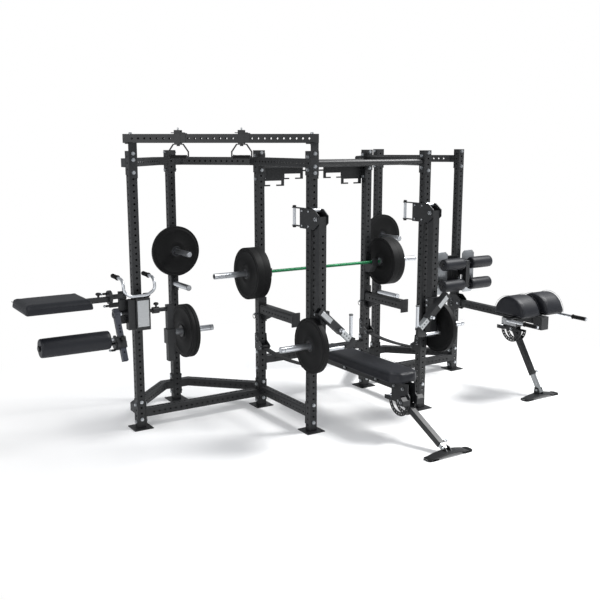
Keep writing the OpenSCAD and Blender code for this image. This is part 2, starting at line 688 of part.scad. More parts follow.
// ---------- Adjustable leg, used by the bench and the back machine ----------
// Everything here lies round a pivot at the origin; the leg runs towards -Y
ring_in = leg_w / 2 + 2;
ring_out = ring_in + ring_t;
leg_off = 10;
module ring_plate(top, w) {
  difference() {
    union() {
      intersection() {
        circle(r = ring_r, $fn = 96);
        translate([-ring_r, -ring_r]) square([2 * ring_r, ring_r]);
      }
      translate([-w, -20]) square([2 * w, top + 20]);
      translate([ring_r - 20, -26]) square([78, 34]);
    }
    intersection() {
      difference() {
        circle(r = ring_r - 34, $fn = 96);
        circle(r = 26);
      }
      translate([-ring_r, -ring_r]) square([2 * ring_r, ring_r - 20]);
    }
    circle(d = 16 + 2 * run_c);
    for (a = [195:15:345]) rotate(a) translate([ring_r - 17, 0]) circle(d = 13);
  }
}
module ring_pair(top, w) {
  for (x = [-ring_out, ring_in]) slab_x(x, x + ring_t) ring_plate(top, w);
}
module ring_pins() {
  rod_x(-ring_out - 12, ring_out + 12, 0, 0, 16);
  for (x = [-ring_out - 12, ring_out]) translate([x, 0, 0]) along_x() cylinder(d = 27, h = 12, $fn = 6);
  rod_x(-ring_in, ring_in, ring_r + 40, -9, 28);
}
// Outer tube from the pivot to a length l, at the angle a below level
module leg_outer(l, a) rotate([a, 0, 0]) mirror([0, 1, 0]) {
  difference() {
    union() {
      translate([0, -30, leg_off]) along_y() linear_extrude(l + 30) rsq(leg_w, 4);
      for (x = [-ring_in + slide_c, leg_w / 2]) rod_x(x, x + ring_in - leg_w / 2 - slide_c, 0, 0, 40);
      box([-leg_w / 2, -24, -22], [leg_w / 2, 24, 0]);
    }
    translate([0, 60, leg_off]) along_y() linear_extrude(l) square(leg_in + 2 * slide_c, center = true);
    along_x() cylinder(r = 8 + run_c, h = leg_w + 20, center = true);
    translate([0, l - 25, leg_off]) along_x() cylinder(d = 12, h = leg_w + 2, center = true);
  }
}
module leg_plunger(l, a) rotate([a, 0, 0]) mirror([0, 1, 0]) translate([0, l - 25, leg_off]) {
  rod_x(leg_w / 2 - 6, leg_w / 2 + 26, 0, 0, 20);
  rod_x(leg_w / 2 + 26, leg_w / 2 + 44, 0, 0, 10);
  translate([leg_w / 2 + 50, 0, 0]) sphere(d = 22);
}
// Inner tube from s0 to s1 along the leg
module leg_inner(s0, s1, a) rotate([a, 0, 0]) mirror([0, 1, 0])
  translate([0, s0, leg_off]) along_y() linear_extrude(s1 - s0) difference() {
    rsq(leg_in, 3);
    square(leg_in - 6, center = true);
  }
// Arched foot along X, its ends on the floor, with two lugs for the inner tube
foot_w = 450;
foot_d = 90;
foot_h = 36;
foot_t = 10;
foot_r = 30;
foot_pad = 95;
foot_pt = 13;
foot_c = (foot_w * foot_w / 4 + foot_h * foot_h) / (2 * foot_h);
// Plate bent into a low arch, with thick rounded ends
module foot(y) translate([0, y, 0]) intersection() {
  union() {
    translate([0, foot_d / 2, 0]) rotate([90, 0, 0]) linear_extrude(foot_d) intersection() {
      translate([0, foot_h - foot_c]) difference() {
        circle(r = foot_c, $fn = 240);
        circle(r = foot_c - foot_t, $fn = 240);
      }
      translate([-foot_w / 2, 0]) square([foot_w, foot_h + 1]);
    }
    for (s = [-1, 1]) box([s * (foot_w - foot_pad) / 2 - foot_pad / 2, -foot_d / 2, 0],
      [s * (foot_w - foot_pad) / 2 + foot_pad / 2, foot_d / 2, foot_pt]);
  }
  translate([0, 0, -1]) linear_extrude(foot_h + 3) {
    square([foot_w - 2 * foot_r, foot_d], center = true);
    square([foot_w, foot_d - 2 * foot_r], center = true);
    for (x = [-1, 1], v = [-1, 1]) translate([x * (foot_w / 2 - foot_r), v * (foot_d / 2 - foot_r)]) circle(r = foot_r);
  }
}

// ---------- Bench ----------
bench_p = [-885, 292];
bench_end = -950;
bench_out = 535;
bench_foot_y = -1473;
module bench_frame() {
  color(black) {
    difference() {
      translate([0, rear_face - 8, bench_z]) rotate([90, 0, 0]) linear_extrude(rear_face - 8 - bench_end) rsq(tube, tube_r);
      translate([0, rear_face - 7, bench_z]) rotate([90, 0, 0]) linear_extrude(rear_face - bench_end) square(tube - 2 * wall, center = true);
    }
    // Flange on the crossmember
    difference() {
      box([-75, rear_face - 8, bench_z - ht], [75, rear_face, z_cross + ht]);
      for (x = [-pitch, pitch]) translate([x, rear_face - 9, z_cross]) along_y() cylinder(d = hole_d, h = 10);
    }
    // Seats under the pad
    for (y = [-826, -584, -133]) {
      box([-110, y - 30, pad_z - 8], [110, y + 30, pad_z]);
      for (x = [-ht - 6, ht]) box([x, y - 22, bench_z - 18], [x + 6, y + 22, pad_z - 8]);
      box([-ht, y - 22, bench_z + ht], [ht, y + 22, pad_z - 8]);
    }
    // Cheeks at the front end and the two boxes beside the leg
    for (x = [-ht - 8, ht]) slab_x(x, x + 8) polygon([[-850, 452], [-1005, 452], [-1005, 380], [-1029, 357],
      [-1029, 285], [-1000, 285], [-975, 330], [-850, 340]]);
    for (x = [-110, ht + 8]) slab_x(x, x + 110 - ht - 8) polygon([[-973, 290], [-1029, 290], [-1029, 333],
      [-1003, 358], [-973, 358]]);
    translate([0, bench_p[0], bench_p[1]]) ring_pair(bench_z - ht - bench_p[1], 100);
  }
  color(zinc) {
    translate([0, bench_p[0], bench_p[1]]) ring_pins();
    for (y = [-826, -584, -133]) for (x = [-ht - 16, ht + 6])
      translate([x, y, bench_z]) along_x() cylinder(d = 24, h = 10, $fn = 6);
    for (x = [-ht - 18, ht + 8]) translate([x, -940, bench_z]) along_x() cylinder(d = 27, h = 10, $fn = 6);
    for (x = [-120, 110]) translate([x, -1001, 318]) along_x() cylinder(d = 24, h = 10, $fn = 6);
  }
}
pad_c = 75;
// Bench pad with clipped corners
module bench_pad() color(vinyl) translate([0, 0, pad_z]) linear_extrude(pad_t)
  polygon([[-pad_w / 2, 250 - pad_c], [-pad_w / 2 + pad_c, 250], [pad_w / 2 - pad_c, 250], [pad_w / 2, 250 - pad_c],
    [pad_w / 2, 250 - pad_l + pad_c], [pad_w / 2 - pad_c, 250 - pad_l], [-pad_w / 2 + pad_c, 250 - pad_l],
    [-pad_w / 2, 250 - pad_l + pad_c]]);
module bench_leg() {
  color(slate) translate([0, bench_p[0], bench_p[1]]) leg_outer(bench_out, bench_a);
  color(zinc) translate([0, bench_p[0], bench_p[1]]) leg_plunger(bench_out, bench_a);
}
module bench_foot() {
  color(silver) translate([0, bench_p[0], bench_p[1]]) leg_inner(300, 590, bench_a);
  color(black) {
    foot(bench_foot_y + 20);
    for (x = [-leg_in / 2 - 6, leg_in / 2]) slab_x(x, x + 6) polygon([[-1402, 24], [-1402, 66], [-1440, 62],
      [-1470, foot_h - 4], [-1435, foot_h - 10]]);
  }
}

// ---------- Back machine on the right wing ----------
gx = xa;
ghd_p = [-423, 599];
ghd_out = 484;
ghd_end = -705;
// The beam hangs on the two upright holes nearest its height
ghd_k = floor((ghd_z - hole_x0) / pitch);
ghd_holes = [hole_x0 + ghd_k * pitch, hole_x0 + (ghd_k + 1) * pitch];
module ghd_beam() {
  color(black) translate([gx, 0, 0]) {
    difference() {
      translate([0, rear_face - 1, ghd_z]) rotate([90, 0, 0]) linear_extrude(rear_face - 1 - ghd_end) rsq(tube, tube_r);
      translate([0, rear_face, ghd_z]) rotate([90, 0, 0]) linear_extrude(rear_face - ghd_end) square(tube - 2 * wall, center = true);
      for (k = [0:17]) translate([0, ghd_end + 60 + k * pitch, ghd_z]) along_x() cylinder(d = hole_d, h = tube + 2, center = true);
    }
    // Cheeks round the upright
    difference() {
      for (x = [-ht - 8, ht]) slab_x(x, x + 8) polygon([[284, 700], [284, 772], [340, 815], [445, 815], [480, 780],
        [480, 690], [445, 657], [340, 657]]);
      for (z = ghd_holes) translate([0, yc, z]) along_x() cylinder(d = hole_d, h = tube + 40, center = true);
    }
    // End cap
    difference() {
      box([-45, ghd_end - 100, ghd_z - 77], [45, ghd_end, ghd_z + 45]);
      box([-37, ghd_end - 92, ghd_z - 78], [37, ghd_end - 8, ghd_z + 37]);
    }
    // Housing of the leg under the beam
    difference() {
      box([-50, -500, 628], [50, -310, ghd_z - ht]);
      box([-44, -494, 620], [44, -316, ghd_z - ht - 6]);
    }
    translate([0, ghd_p[0], ghd_p[1]]) ring_pair(ghd_z - ht - 5 - ghd_p[1], 60);
  }
  color(panel) translate([gx, 0, 0]) for (x = [-52, 50]) box([x, -496, 632], [x + 2, -314, ghd_z - ht - 2]);
  color(zinc) translate([gx, 0, 0]) {
    translate([0, ghd_p[0], ghd_p[1]]) ring_pins();
    for (z = ghd_holes) {
      rod_x(-ht - 24, ht + 24, yc, z, bolt_d);
      for (x = [-ht - 18, ht + 8]) translate([x, yc, z]) along_x() cylinder(d = 27, h = 10, $fn = 6);
    }
    for (x = [-ht - 18, ht + 8]) translate([x, 320, ghd_z]) along_x() cylinder(d = 27, h = 10, $fn = 6);
  }
}
module ghd_leg() translate([gx, ghd_p[0], ghd_p[1]]) {
  color(black) leg_outer(ghd_out, ghd_a);
  color(zinc) leg_plunger(ghd_out, ghd_a);
}
module ghd_foot() translate([gx, 0, 0]) {
  color(silver) translate([0, ghd_p[0], ghd_p[1]]) leg_inner(280, 668, ghd_a);
  color(black) {
    foot(-790);
    for (x = [-leg_in / 2 - 6, leg_in / 2]) slab_x(x, x + 6) polygon([[-735, foot_h - 8], [-742, 92], [-790, 92],
      [-815, foot_h - 6]]);
  }
}
half_y = -600;
saddle_h = 20;
half_z = ghd_z + ht + saddle_h;
grip_z = ghd_z + 22;
grip_x = 324;
// Saddle that slides along the beam and carries the pads and the two handles
module ghd_carriage() translate([gx, 0, 0]) {
  g = ht + slide_c;
  color(black) {
    box([-g - 8, half_y - 80, ghd_z + ht + slide_c], [g + 8, half_y + 80, half_z - 8]);
    for (x = [-g - 8, g]) box([x, half_y - 80, ghd_z - 30], [x + 8, half_y + 80, ghd_z + ht + slide_c]);
    for (s = [-1, 1]) box([s * (half_gap / 2 + half_l / 2) - half_l / 2 + 6, half_y - half_r + 25, half_z - 8],
      [s * (half_gap / 2 + half_l / 2) + half_l / 2 - 6, half_y + half_r - 25, half_z]);
    box([-grip_x - 14, half_y - 90, ghd_z + ht + slide_c], [grip_x + 14, half_y - 40, half_z - 8]);
  }
  color(chrome) for (s = [-1, 1]) {
    rod_y(s * grip_x, half_y - 410, half_y - 40, grip_z, 26);
    box([s * grip_x - 10, half_y - 85, grip_z + 3], [s * grip_x + 10, half_y - 45, ghd_z + ht + slide_c + 1]);
  }
  color(vinyl) for (s = [-1, 1]) rod_y(s * grip_x, half_y - 400, half_y - 250, grip_z, 36);
}
// Half-round thigh pads
module ghd_pads() color(vinyl) for (s = [-1, 1])
  translate([gx + s * (half_gap + half_l) / 2, half_y, half_z]) slab_x(-half_l / 2, half_l / 2) intersection() {
    circle(r = half_r, $fn = 96);
    translate([-half_r, 0]) square([2 * half_r, half_r]);
  }

ank_y = 260;
ank_z = [935, 1153];
ank_d = 20;
ank_arm = hole_y0 + 18 * pitch + span / 2;
tread_w = 161;
tread_x = [-178 - tread_w, 22];
module ankle_frame() translate([gx, 0, 0]) {
  color(black) {
    box([-25, ank_y - 25, ank_z[0] - 28], [25, ank_y + 25, ank_z[1] + 28]);
    box([-25, ank_y + 25, ank_arm - 25], [25, rear_face - 8, ank_arm + 25]);
    difference() {
      box([-ht, rear_face - 8, ank_arm - flange_h / 2], [ht, rear_face, ank_arm + flange_h / 2]);
      for (k = [-1, 1]) translate([0, rear_face - 9, ank_arm + k * span / 2]) along_y() cylinder(d = hole_d, h = 10);
    }
    box([-320, 353, ank_arm - 20], [190, 361, ank_arm + 20]);
    box([-176, 351, ank_z[0] - 75], [-38, 376, ank_z[1] + 75]);
    for (k = [0:5]) box([-172 + k * 23, 345, ank_z[0] - 70], [-162 + k * 23, 352, ank_z[1] + 70]);
  }
  color(chrome) for (z = ank_z) rod_x(-ankle_l - 55, ankle_l + 55, ank_y, z, ank_d);
  color(silver) for (x = tread_x) translate([0, 353, 0]) rotate([90, 0, 0]) linear_extrude(8) polygon([[x, 837 + 25], [x + 25, 837],
    [x + tread_w - 25, 837], [x + tread_w, 837 + 25], [x + tread_w, 1270 - 28], [x + tread_w - 28, 1270], [x + 28, 1270], [x, 1270 - 28]]);
  color(zinc) for (k = [-1, 1]) translate([0, rear_face - 8, ank_arm + k * span / 2]) along_y() bolt(8 + tube);
}
module ankle_rollers(z) color(vinyl) translate([gx, ank_y, z]) for (s = [-1, 1]) difference() {
  translate([s > 0 ? 49 : -49 - ankle_l, 0, 0]) along_x() cylinder(r = ankle_r, h = ankle_l);
  along_x() cylinder(r = ank_d / 2 + slide_c, h = 2 * ankle_l + 200, center = true);
}
module ankle_rollers_upper() ankle_rollers(ank_z[1]);
module ankle_rollers_lower() ankle_rollers(ank_z[0]);

// ---------- Jammer arms, drawn for the left upright and mirrored for the right ----------
jy = -547;
roll_y = front - slide_c - roll_r;
car_in = ht + car_gap;
car_out = car_in + car_t;
car_b = jam_z - 86;
car_top = jam_z + 76;
pull_y = -160;
module car_side() difference() {
  polygon([[-315, car_b], [-315, car_top], [-520, car_top], [-590, jam_z + 28], [-590, jam_z - 32], [-520, car_b]]);
  translate([jy, jam_z]) circle(d = 20 + 2 * run_c);
}
module carriage() {
  color(black) {
    for (x = [-car_out, car_in]) slab_x(x, x + car_t) car_side();
    // Web behind the upright, its wear pads and the arms of the pull handle
    box([-car_in, -377, car_b + 4], [car_in, -369, car_top - 4]);
    for (z = [car_b + 10, car_top - 44]) {
      box([-ht + 6, -377 - (8 - slide_c), z], [ht - 6, -377, z + 34]);
      for (s = [-1, 1]) box([s > 0 ? ht + slide_c : -car_in, -450, z], [s > 0 ? car_in : -ht - slide_c, -390, z + 34]);
    }
    for (z = [car_b + 4, car_top - 12]) box([-15, -369, z], [15, pull_y + 14, z + 8]);
    // Stop behind the arm
    box([-car_in, jy + ht + slide_c, car_b + 3], [car_in, roll_y - roll_r - 1, car_b + 40]);
  }
  color(chrome) {
    for (z = [jam_z + 60, jam_z - 55]) rod_x(-car_in, car_in, roll_y, z, 2 * roll_r);
    rod_x(-car_out - 10, car_out + 10, jy, jam_z, 20);
    for (x = [-car_out - 10, car_out]) rod_x(x, x + 10, jy, jam_z, 38);
    rod_z(0, pull_y, car_b + 12, car_top - 12, 25);
    for (z = [car_b - 8, car_top - 4]) rod_z(0, pull_y, z, z + 12, 20);
    for (x = [-car_out - 6, car_out], y = [-345, -440], z = [car_b + 22, car_top - 22])
      translate([x, y, z]) along_x() cylinder(d = 16, h = 6, $fn = 6);
  }
}
dy = jy - ht - 63;
dv = [cos(diag_a), 0, -sin(diag_a)];
d_up = [-85, dy, 1069];
d_rest = 294;
peg_zz = 766;
disc1_t = 45;
jam_peg = 339;
// Arm tube with its loading peg, and the diagonal sleeve on a clamp block
module jammer_arm() {
  b = jam_z + 20 - jam_l - 20;
  color(black) {
    difference() {
      translate([0, jy, b]) linear_extrude(jam_z + 20 - b) rsq(tube, tube_r);
      translate([0, jy, b - 1]) linear_extrude(jam_l + 60) square(tube - 2 * wall, center = true);
      for (k = [0:16]) translate([0, jy, jam_z - 134 - k * pitch]) along_y() cylinder(d = hole_d, h = tube + 2, center = true);
      translate([0, jy, jam_z]) along_x() cylinder(r = 10 + run_c, h = tube + 2, center = true);
    }
    for (x = [-car_in + slide_c, ht - wall]) difference() {
      rod_x(x, x + car_gap + wall - slide_c, jy, jam_z, 44);
      translate([0, jy, jam_z]) along_x() cylinder(r = 10 + run_c, h = 2 * tube, center = true);
    }
    rod_x(-ht - 25, -ht, jy, peg_zz, 90);
    // Clamp block
    box([-ht - 8, dy + diag_w / 2 - 2, 940], [ht + 8, jy - ht, 1046]);
    for (x = [-ht - 8, ht]) box([x, jy - ht, 950], [x + 8, jy + 30, 1036]);
    translate(d_up) rotate([0, diag_a, 0]) along_x() linear_extrude(d_rest) difference() {
      rsq(diag_w, 4);
      square(diag_w - 12, center = true);
    }
  }
  color(chrome) rod_x(-ht - 25 - jam_peg + 25, -ht - 25, jy, peg_zz, sleeve_d);
  color(panel) translate(d_up) rotate([0, diag_a, 0]) translate([24, -diag_w / 2 - 1.5, -20]) cube([120, 1.5, 40]);
  color(zinc) {
    translate(d_up) rotate([0, diag_a, 0]) translate([d_rest - 30, -diag_w / 2 - 32, 0]) along_y() cylinder(d = 14, h = 32);
    for (x = [-ht - 16, ht + 8], z = [970, 1016]) translate([x, jy + 6, z]) along_x() cylinder(d = 22, h = 8, $fn = 6);
  }
}
grip_in = diag_w - 12 - 2 * slide_c;
// Inner tube with the two chrome handles on its end bracket
module jammer_grip() {
  color(silver) translate(d_up) rotate([0, diag_a, 0]) translate([150, 0, 0]) along_x() difference() {
    linear_extrude(250) difference() {
      rsq(grip_in, 3);
      square(grip_in - 6, center = true);
    }
    for (k = [0:2]) translate([0, 0, 170 + k * 30]) rotate([90, 0, 0]) cylinder(d = 12, h = 80, center = true);
  }
  color(black) {
    translate([0, dy - 15, 0]) rotate([90, 0, 0]) linear_extrude(15) polygon([[200, 786], [232, 822], [258, 812],
      [258, 738], [190, 728], [160, 738], [163, 766]]);
    translate(d_up) rotate([0, diag_a, 0]) translate([398, -diag_w / 2 + 6, -diag_w / 2 + 6]) cube([10, diag_w - 12, diag_w - 12]);
    rod_z(236, dy + 3, 994, 1006, 34);
    rod_z(236, dy + 3, 790, 812, 36);
    rod_x(150, 172, dy - 12, 745, 34);
    rod_x(0, 10, dy - 12, 745, 34);
  }
  color(chrome) {
    rod_z(236, dy + 3, 812, 994, hand_d);
    rod_x(10, 150, dy - 12, 745, hand_d);
  }
}
module jammer_disc() color(rubber) translate([-ht - 25, jy, peg_zz]) rotate([0, -90, 0]) bumper(disc1_t);
module jam_l() translate([-xc, 0, 0]) children();
module jam_r() translate([xc, 0, 0]) mirror([1, 0, 0]) children();
module jammer_carriage_left() jam_l() carriage();
module jammer_carriage_right() jam_r() carriage();
module jammer_arm_left() jam_l() jammer_arm();
module jammer_arm_right() jam_r() jammer_arm();
module jammer_disc_left() jam_l() jammer_disc();
module jammer_disc_right() jam_r() jammer_disc();
module jammer_grip_left() jam_l() jammer_grip();
module jammer_grip_right() jam_r() jammer_grip();

// ---------- Leg machine on the left wing ----------
ly = rear_face - 45;
lx = -xa;
tr_f = ly - 45;
tr_b = leg_z - 146;
tr_t = leg_z + 117;
bx0 = lx - 52;
bx1 = lx + 70;
lt = [lx - 113, lx - 54];
arm_x = lx + 255;
lev_x = lx - 205;
// Trolley that runs on the upright and carries the shaft
module leg_trolley() color(black) {
  difference() {
    union() {
      difference() {
        box([bx0, tr_f, tr_b], [bx1, rear_face - slide_c, tr_t]);
        box([bx0 + 6, tr_f + 6, tr_b + 6], [bx1 - 6, rear_face - slide_c - 6, tr_t - 6]);
      }
      difference() {
        box([lt[0], ly - 32, tr_b + 10], [lt[1], ly + 28, tr_t - 7]);
        box([lt[0] + 4, ly - 28, tr_b + 9], [lt[1] - 4, ly + 24, tr_t - 6]);
      }
      rod_x(lt[0] - 12, bx1 + 8, ly, leg_z, leg_shaft + 16);
    }
    translate([lx, ly, leg_z]) along_x() cylinder(r = leg_shaft / 2 + run_c, h = 500, center = true);
  }
  // Cheeks and rear web round the upright
  for (x = [lx - ht - 12, lx + ht + 4]) box([x, rear_face - slide_c, leg_z - 110], [x + 8, rear_face + tube + 25, leg_z + 90]);
  box([lx - ht - 12, rear_face + tube + 8, leg_z - 110], [lx + ht + 12, rear_face + tube + 16, leg_z + 90]);
  for (z = [leg_z - 100, leg_z + 46]) {
    box([lx - ht + 8, rear_face + tube + slide_c, z], [lx + ht - 8, rear_face + tube + 8, z + 34]);
    for (s = [-1, 1]) box([s > 0 ? lx + ht + slide_c : lx - ht - 4, rear_face + 5, z], [s > 0 ? lx + ht + 4 : lx - ht - slide_c, rear_face + 60, z + 34]);
  }
  // Rear bracket and the pipe that carries the pad
  box([lx - 176, ly + 20, leg_z - 87], [lt[0] + 4, ly + 28, leg_z + 181]);
  rod_x(lx - 248, lx - 150, ly, leg_z + 145, 40);
  box([lx - 176, ly, leg_z + 135], [lx - 150, ly + 24, leg_z + 155]);
  rod_x(lx - 255, lx - 243, ly, leg_z + 145, 110);
  // Ears that hold the U handle on top
  for (x = [lx - 40, lx + 40]) box([x - 10, ly - 43, tr_t], [x + 10, ly - 15, tr_t + 9]);
}
module leg_panel() color(panel) box([lx - 40, tr_f - 2, leg_z - 117], [lx + 57, tr_f, leg_z + 100]);
hz = tr_t + 14;
hy = ly - 40;
// Chrome U handle with rubber grips
module leg_handle() {
  color(chrome) {
    rod_x(lx - 94, lx + 50, hy, hz + 8, 25);
    for (s = [0, 1]) {
      p = s ? [[lx + 50, hy, hz + 8], [lx + 115, hy, hz + 50], [lx + 115, hy, hz + 110], [lx + 115, hy + 40, hz + 148], [lx + 115, hy + 240, hz + 152]]
        : [[lx - 94, hy, hz + 8], [lx - 150, hy, hz + 50], [lx - 150, hy, hz + 110], [lx - 150, hy + 40, hz + 148], [lx - 150, hy + 240, hz + 152]];
      for (i = [0:3]) rod(p[i], p[i + 1], 25);
      for (i = [0:3]) translate(p[i]) sphere(d = 26.5);
    }
  }
  color(vinyl) for (x = [lx + 115, lx - 150]) rod([x, hy + 125, hz + 149.7], [x, hy + 244, hz + 152.1], 34);
}
wz = leg_z - 204;
// Shaft, hub and hanging arm that takes the plates
module leg_weight_arm() {
  color(zinc) rod_x(lev_x - 20, arm_x - 20, ly, leg_z, leg_shaft);
  color(black) {
    difference() {
      translate([arm_x, ly, leg_z - 443]) linear_extrude(477) rsq(55, 4);
      translate([arm_x, ly, leg_z - 444]) linear_extrude(380) square(47, center = true);
    }
    difference() {
      translate([arm_x, ly, leg_z - 294]) linear_extrude(125) square(76, center = true);
      translate([arm_x, ly, leg_z - 295]) linear_extrude(127) square(54, center = true);
    }
    rod_x(lx + 105, lx + 160, ly, leg_z, leg_shaft + 24);
    rod_z(lx + 138, ly, leg_z + 20, leg_z + 50, 16);
    translate([lx + 138, ly, leg_z + 40]) rotate_extrude() polygon([[0, 0], [10, 0], [22, 8], [22, 14], [12, 22], [0, 24]]);
    rod_x(arm_x + 101, arm_x + 109, ly, wz, 100);
  }
  color(chrome) rod_x(arm_x + 37, arm_x + 395, ly, wz, sleeve_d);
}
ldisc_t = 34.5;
module leg_discs() color(rubber) translate([arm_x + 109, ly, wz]) along_x()
  for (k = [0, 1]) translate([0, 0, k * ldisc_t]) bumper(ldisc_t);
// Lever that carries the foam roller; it turns with the shaft
lever_l = 386;
module leg_lever() color(slate) translate([lev_x, ly, leg_z]) rotate([-lever_a, 0, 0]) difference() {
  union() {
    translate([0, 0, -lever_l]) linear_extrude(lever_l + 45) rsq(lever_w, 4);
    rod_x(-lever_w / 2 - 4, lever_w / 2 + 4, 0, 0, 58);
  }
  translate([0, 0, -lever_l - 1]) linear_extrude(lever_l - 56) square(lever_w - 6, center = true);
  along_x() cylinder(d = leg_shaft, h = 80, center = true);
  for (k = [0:5]) translate([0, 0, -100 - k * 48]) along_x() cylinder(d = 13, h = lever_w + 2, center = true);
  for (z = [97, 124, 151, 318]) translate([0, 0, -z]) along_y() cylinder(d = 14, h = lever_w + 2, center = true);
}
sl_s = 235;
function lev_pt(s) = [ly - s * sin(lever_a), leg_z - s * cos(lever_a)];
f_pt = [lev_pt(sl_s)[0] - 8.7, lev_pt(sl_s)[1] + 38.1];
sl_x = lev_x - lever_w / 2 - slide_c - 8;
// Slider on the lever with the axle of the roller
module leg_slider() {
  color(black) {
    translate([lev_x, lev_pt(sl_s)[0], lev_pt(sl_s)[1]]) rotate([-lever_a, 0, 0]) difference() {
      cube([lever_w + 16 + 2 * slide_c, lever_w + 16 + 2 * slide_c, 90], center = true);
      cube([lever_w + 2 * slide_c, lever_w + 2 * slide_c, 92], center = true);
    }
    rod_x(sl_x - 22, sl_x + 2, lev_pt(sl_s)[0], lev_pt(sl_s)[1], 110);
    translate([lev_x, ly, leg_z]) rotate([-lever_a, 0, 0]) {
      translate([0, -lever_w / 2 - 20, 25 - sl_s]) along_y() cylinder(d = 18, h = 16);
      translate([0, -lever_w / 2 - 30, 25 - sl_s]) sphere(d = 44);
    }
    slab_x(sl_x - 34, sl_x - 22) difference() {
      union() {
        translate(lev_pt(sl_s)) circle(d = 90);
        translate(f_pt) circle(d = 60);
        translate([f_pt[0] - 30, lev_pt(sl_s)[1]]) square([60, f_pt[1] - lev_pt(sl_s)[1]]);
      }
    }
  }
  color(zinc) {
    rod_x(sl_x - 76 - foam_l - 10, sl_x - 30, f_pt[0], f_pt[1], 25);
    rod_x(sl_x - 76 - foam_l - 10, sl_x - 76 - foam_l, f_pt[0], f_pt[1], 44);
    rod_x(sl_x - 72, sl_x - 60, f_pt[0], f_pt[1], 44);
    rod_x(sl_x - 44, sl_x - 32, lev_pt(sl_s)[0], lev_pt(sl_s)[1], 18);
    translate([sl_x - 48, lev_pt(sl_s)[0], lev_pt(sl_s)[1]]) sphere(d = 22);
  }
}
module leg_foam_roller() color(vinyl) translate([sl_x - 74 - foam_l, f_pt[0], f_pt[1]]) along_x() difference() {
  cylinder(d = foam_d, h = foam_l);
  translate([0, 0, -1]) cylinder(r = 12.5 + slide_c, h = foam_l + 2);
}
pz = leg_z + 145;
px = lx - 255 - slide_c;
nz = pz - 15;
pad_x = lx - 449;
// Disc and neck that carry the pad
module leg_pad_arm() {
  color(black) {
    rod_x(px - 12, px, ly, pz, 110);
    box([pad_x - seat_l + 60, ly - 20, nz - 20], [px - 10, ly + 20, nz + 20]);
    rod_z(px - 90, ly, nz + 18, nz + 44, 18);
    translate([px - 90, ly, nz + 40]) rotate_extrude() polygon([[0, 0], [10, 0], [20, 8], [20, 14], [10, 20], [0, 22]]);
  }
  color(zinc) {
    rod_x(px - 50, px - 12, ly + 36, pz + 24, 10);
    translate([px - 54, ly + 36, pz + 24]) sphere(d = 22);
  }
}
pad_b = leg_z + 99;
module leg_pad() color(vinyl) difference() {
  slab_x(pad_x - seat_l, pad_x) polygon([[ly - seat_w / 2, pad_b], [ly - seat_w / 2, pad_b + seat_t - 25],
    [ly - seat_w / 2 + 25, pad_b + seat_t], [ly + seat_w / 2 - 25, pad_b + seat_t],
    [ly + seat_w / 2, pad_b + seat_t - 25], [ly + seat_w / 2, pad_b]]);
  box([pad_x - seat_l + 60, ly - 20, pad_b - 1], [pad_x + 1, ly + 20, nz + 20]);
}

uprights_cage_rear();
uprights_cage_front();
uprights_wing();
uprights_apex();
bent_beams_low_left();
bent_beams_low_right();
bent_beams_top_left();
bent_beams_top_right();
depth_beams_low();
depth_beams_top();
wing_beams_low();
pullup_bar();
hook_member();
bench_crossmember();
raised_beam();
frame_bolts();
tube_plugs();
j_cups();
spotter_arms();
strap_brackets();
straps();
storage_pegs();
storage_discs();
bench_frame();
bench_pad();
ghd_beam();
ankle_frame();
pullup_handle_left();
pullup_handle_right();
barbell_shaft();
barbell_sleeve_left();
barbell_sleeve_right();
barbell_discs_left();
barbell_discs_right();
jammer_carriage_left();
jammer_arm_left();
jammer_disc_left();
jammer_grip_left();
jammer_carriage_right();
jammer_arm_right();
jammer_disc_right();
jammer_grip_right();
leg_trolley();
leg_panel();
leg_handle();
leg_weight_arm();
leg_lever();
leg_discs();
leg_slider();
leg_foam_roller();
leg_pad_arm();
leg_pad();
bench_leg();
bench_foot();
ghd_leg();
ghd_foot();
ghd_carriage();
ghd_pads();
ankle_rollers_upper();
ankle_rollers_lower();
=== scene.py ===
# %% [markdown]
# # Dressing a power cage for a studio picture
#
# The steel of this cage comes as a finished frame from CAD: eight punched
# uprights, their beams, two swinging arms, a bench, a leg machine and a back
# machine. Blender adds what a drawing leaves out: finishes, upholstery, rubber
# plates, chrome, knobs and bolts. The frame is loaded first, because every
# later piece takes its place from it.

import json
from math import atan2, cos, hypot, pi, radians, sin

import bmesh
import bpy
from mathutils import Matrix, Vector


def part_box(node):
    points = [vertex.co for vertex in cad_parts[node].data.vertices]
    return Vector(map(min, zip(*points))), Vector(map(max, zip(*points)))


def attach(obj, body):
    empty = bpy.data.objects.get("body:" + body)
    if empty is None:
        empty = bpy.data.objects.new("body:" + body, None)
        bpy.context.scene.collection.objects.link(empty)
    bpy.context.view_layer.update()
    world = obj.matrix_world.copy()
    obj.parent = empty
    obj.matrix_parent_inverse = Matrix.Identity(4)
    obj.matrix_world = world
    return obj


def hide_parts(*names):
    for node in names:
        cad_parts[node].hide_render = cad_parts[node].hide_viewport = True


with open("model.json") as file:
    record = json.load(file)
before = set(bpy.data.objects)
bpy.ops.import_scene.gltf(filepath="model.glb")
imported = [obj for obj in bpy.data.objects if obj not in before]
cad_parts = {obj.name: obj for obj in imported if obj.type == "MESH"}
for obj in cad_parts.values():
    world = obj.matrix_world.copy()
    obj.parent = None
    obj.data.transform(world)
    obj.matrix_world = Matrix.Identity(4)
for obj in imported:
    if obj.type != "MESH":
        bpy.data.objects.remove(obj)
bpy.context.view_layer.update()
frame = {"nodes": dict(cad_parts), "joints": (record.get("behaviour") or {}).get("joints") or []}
nodes = frame["nodes"]
scene = bpy.context.scene

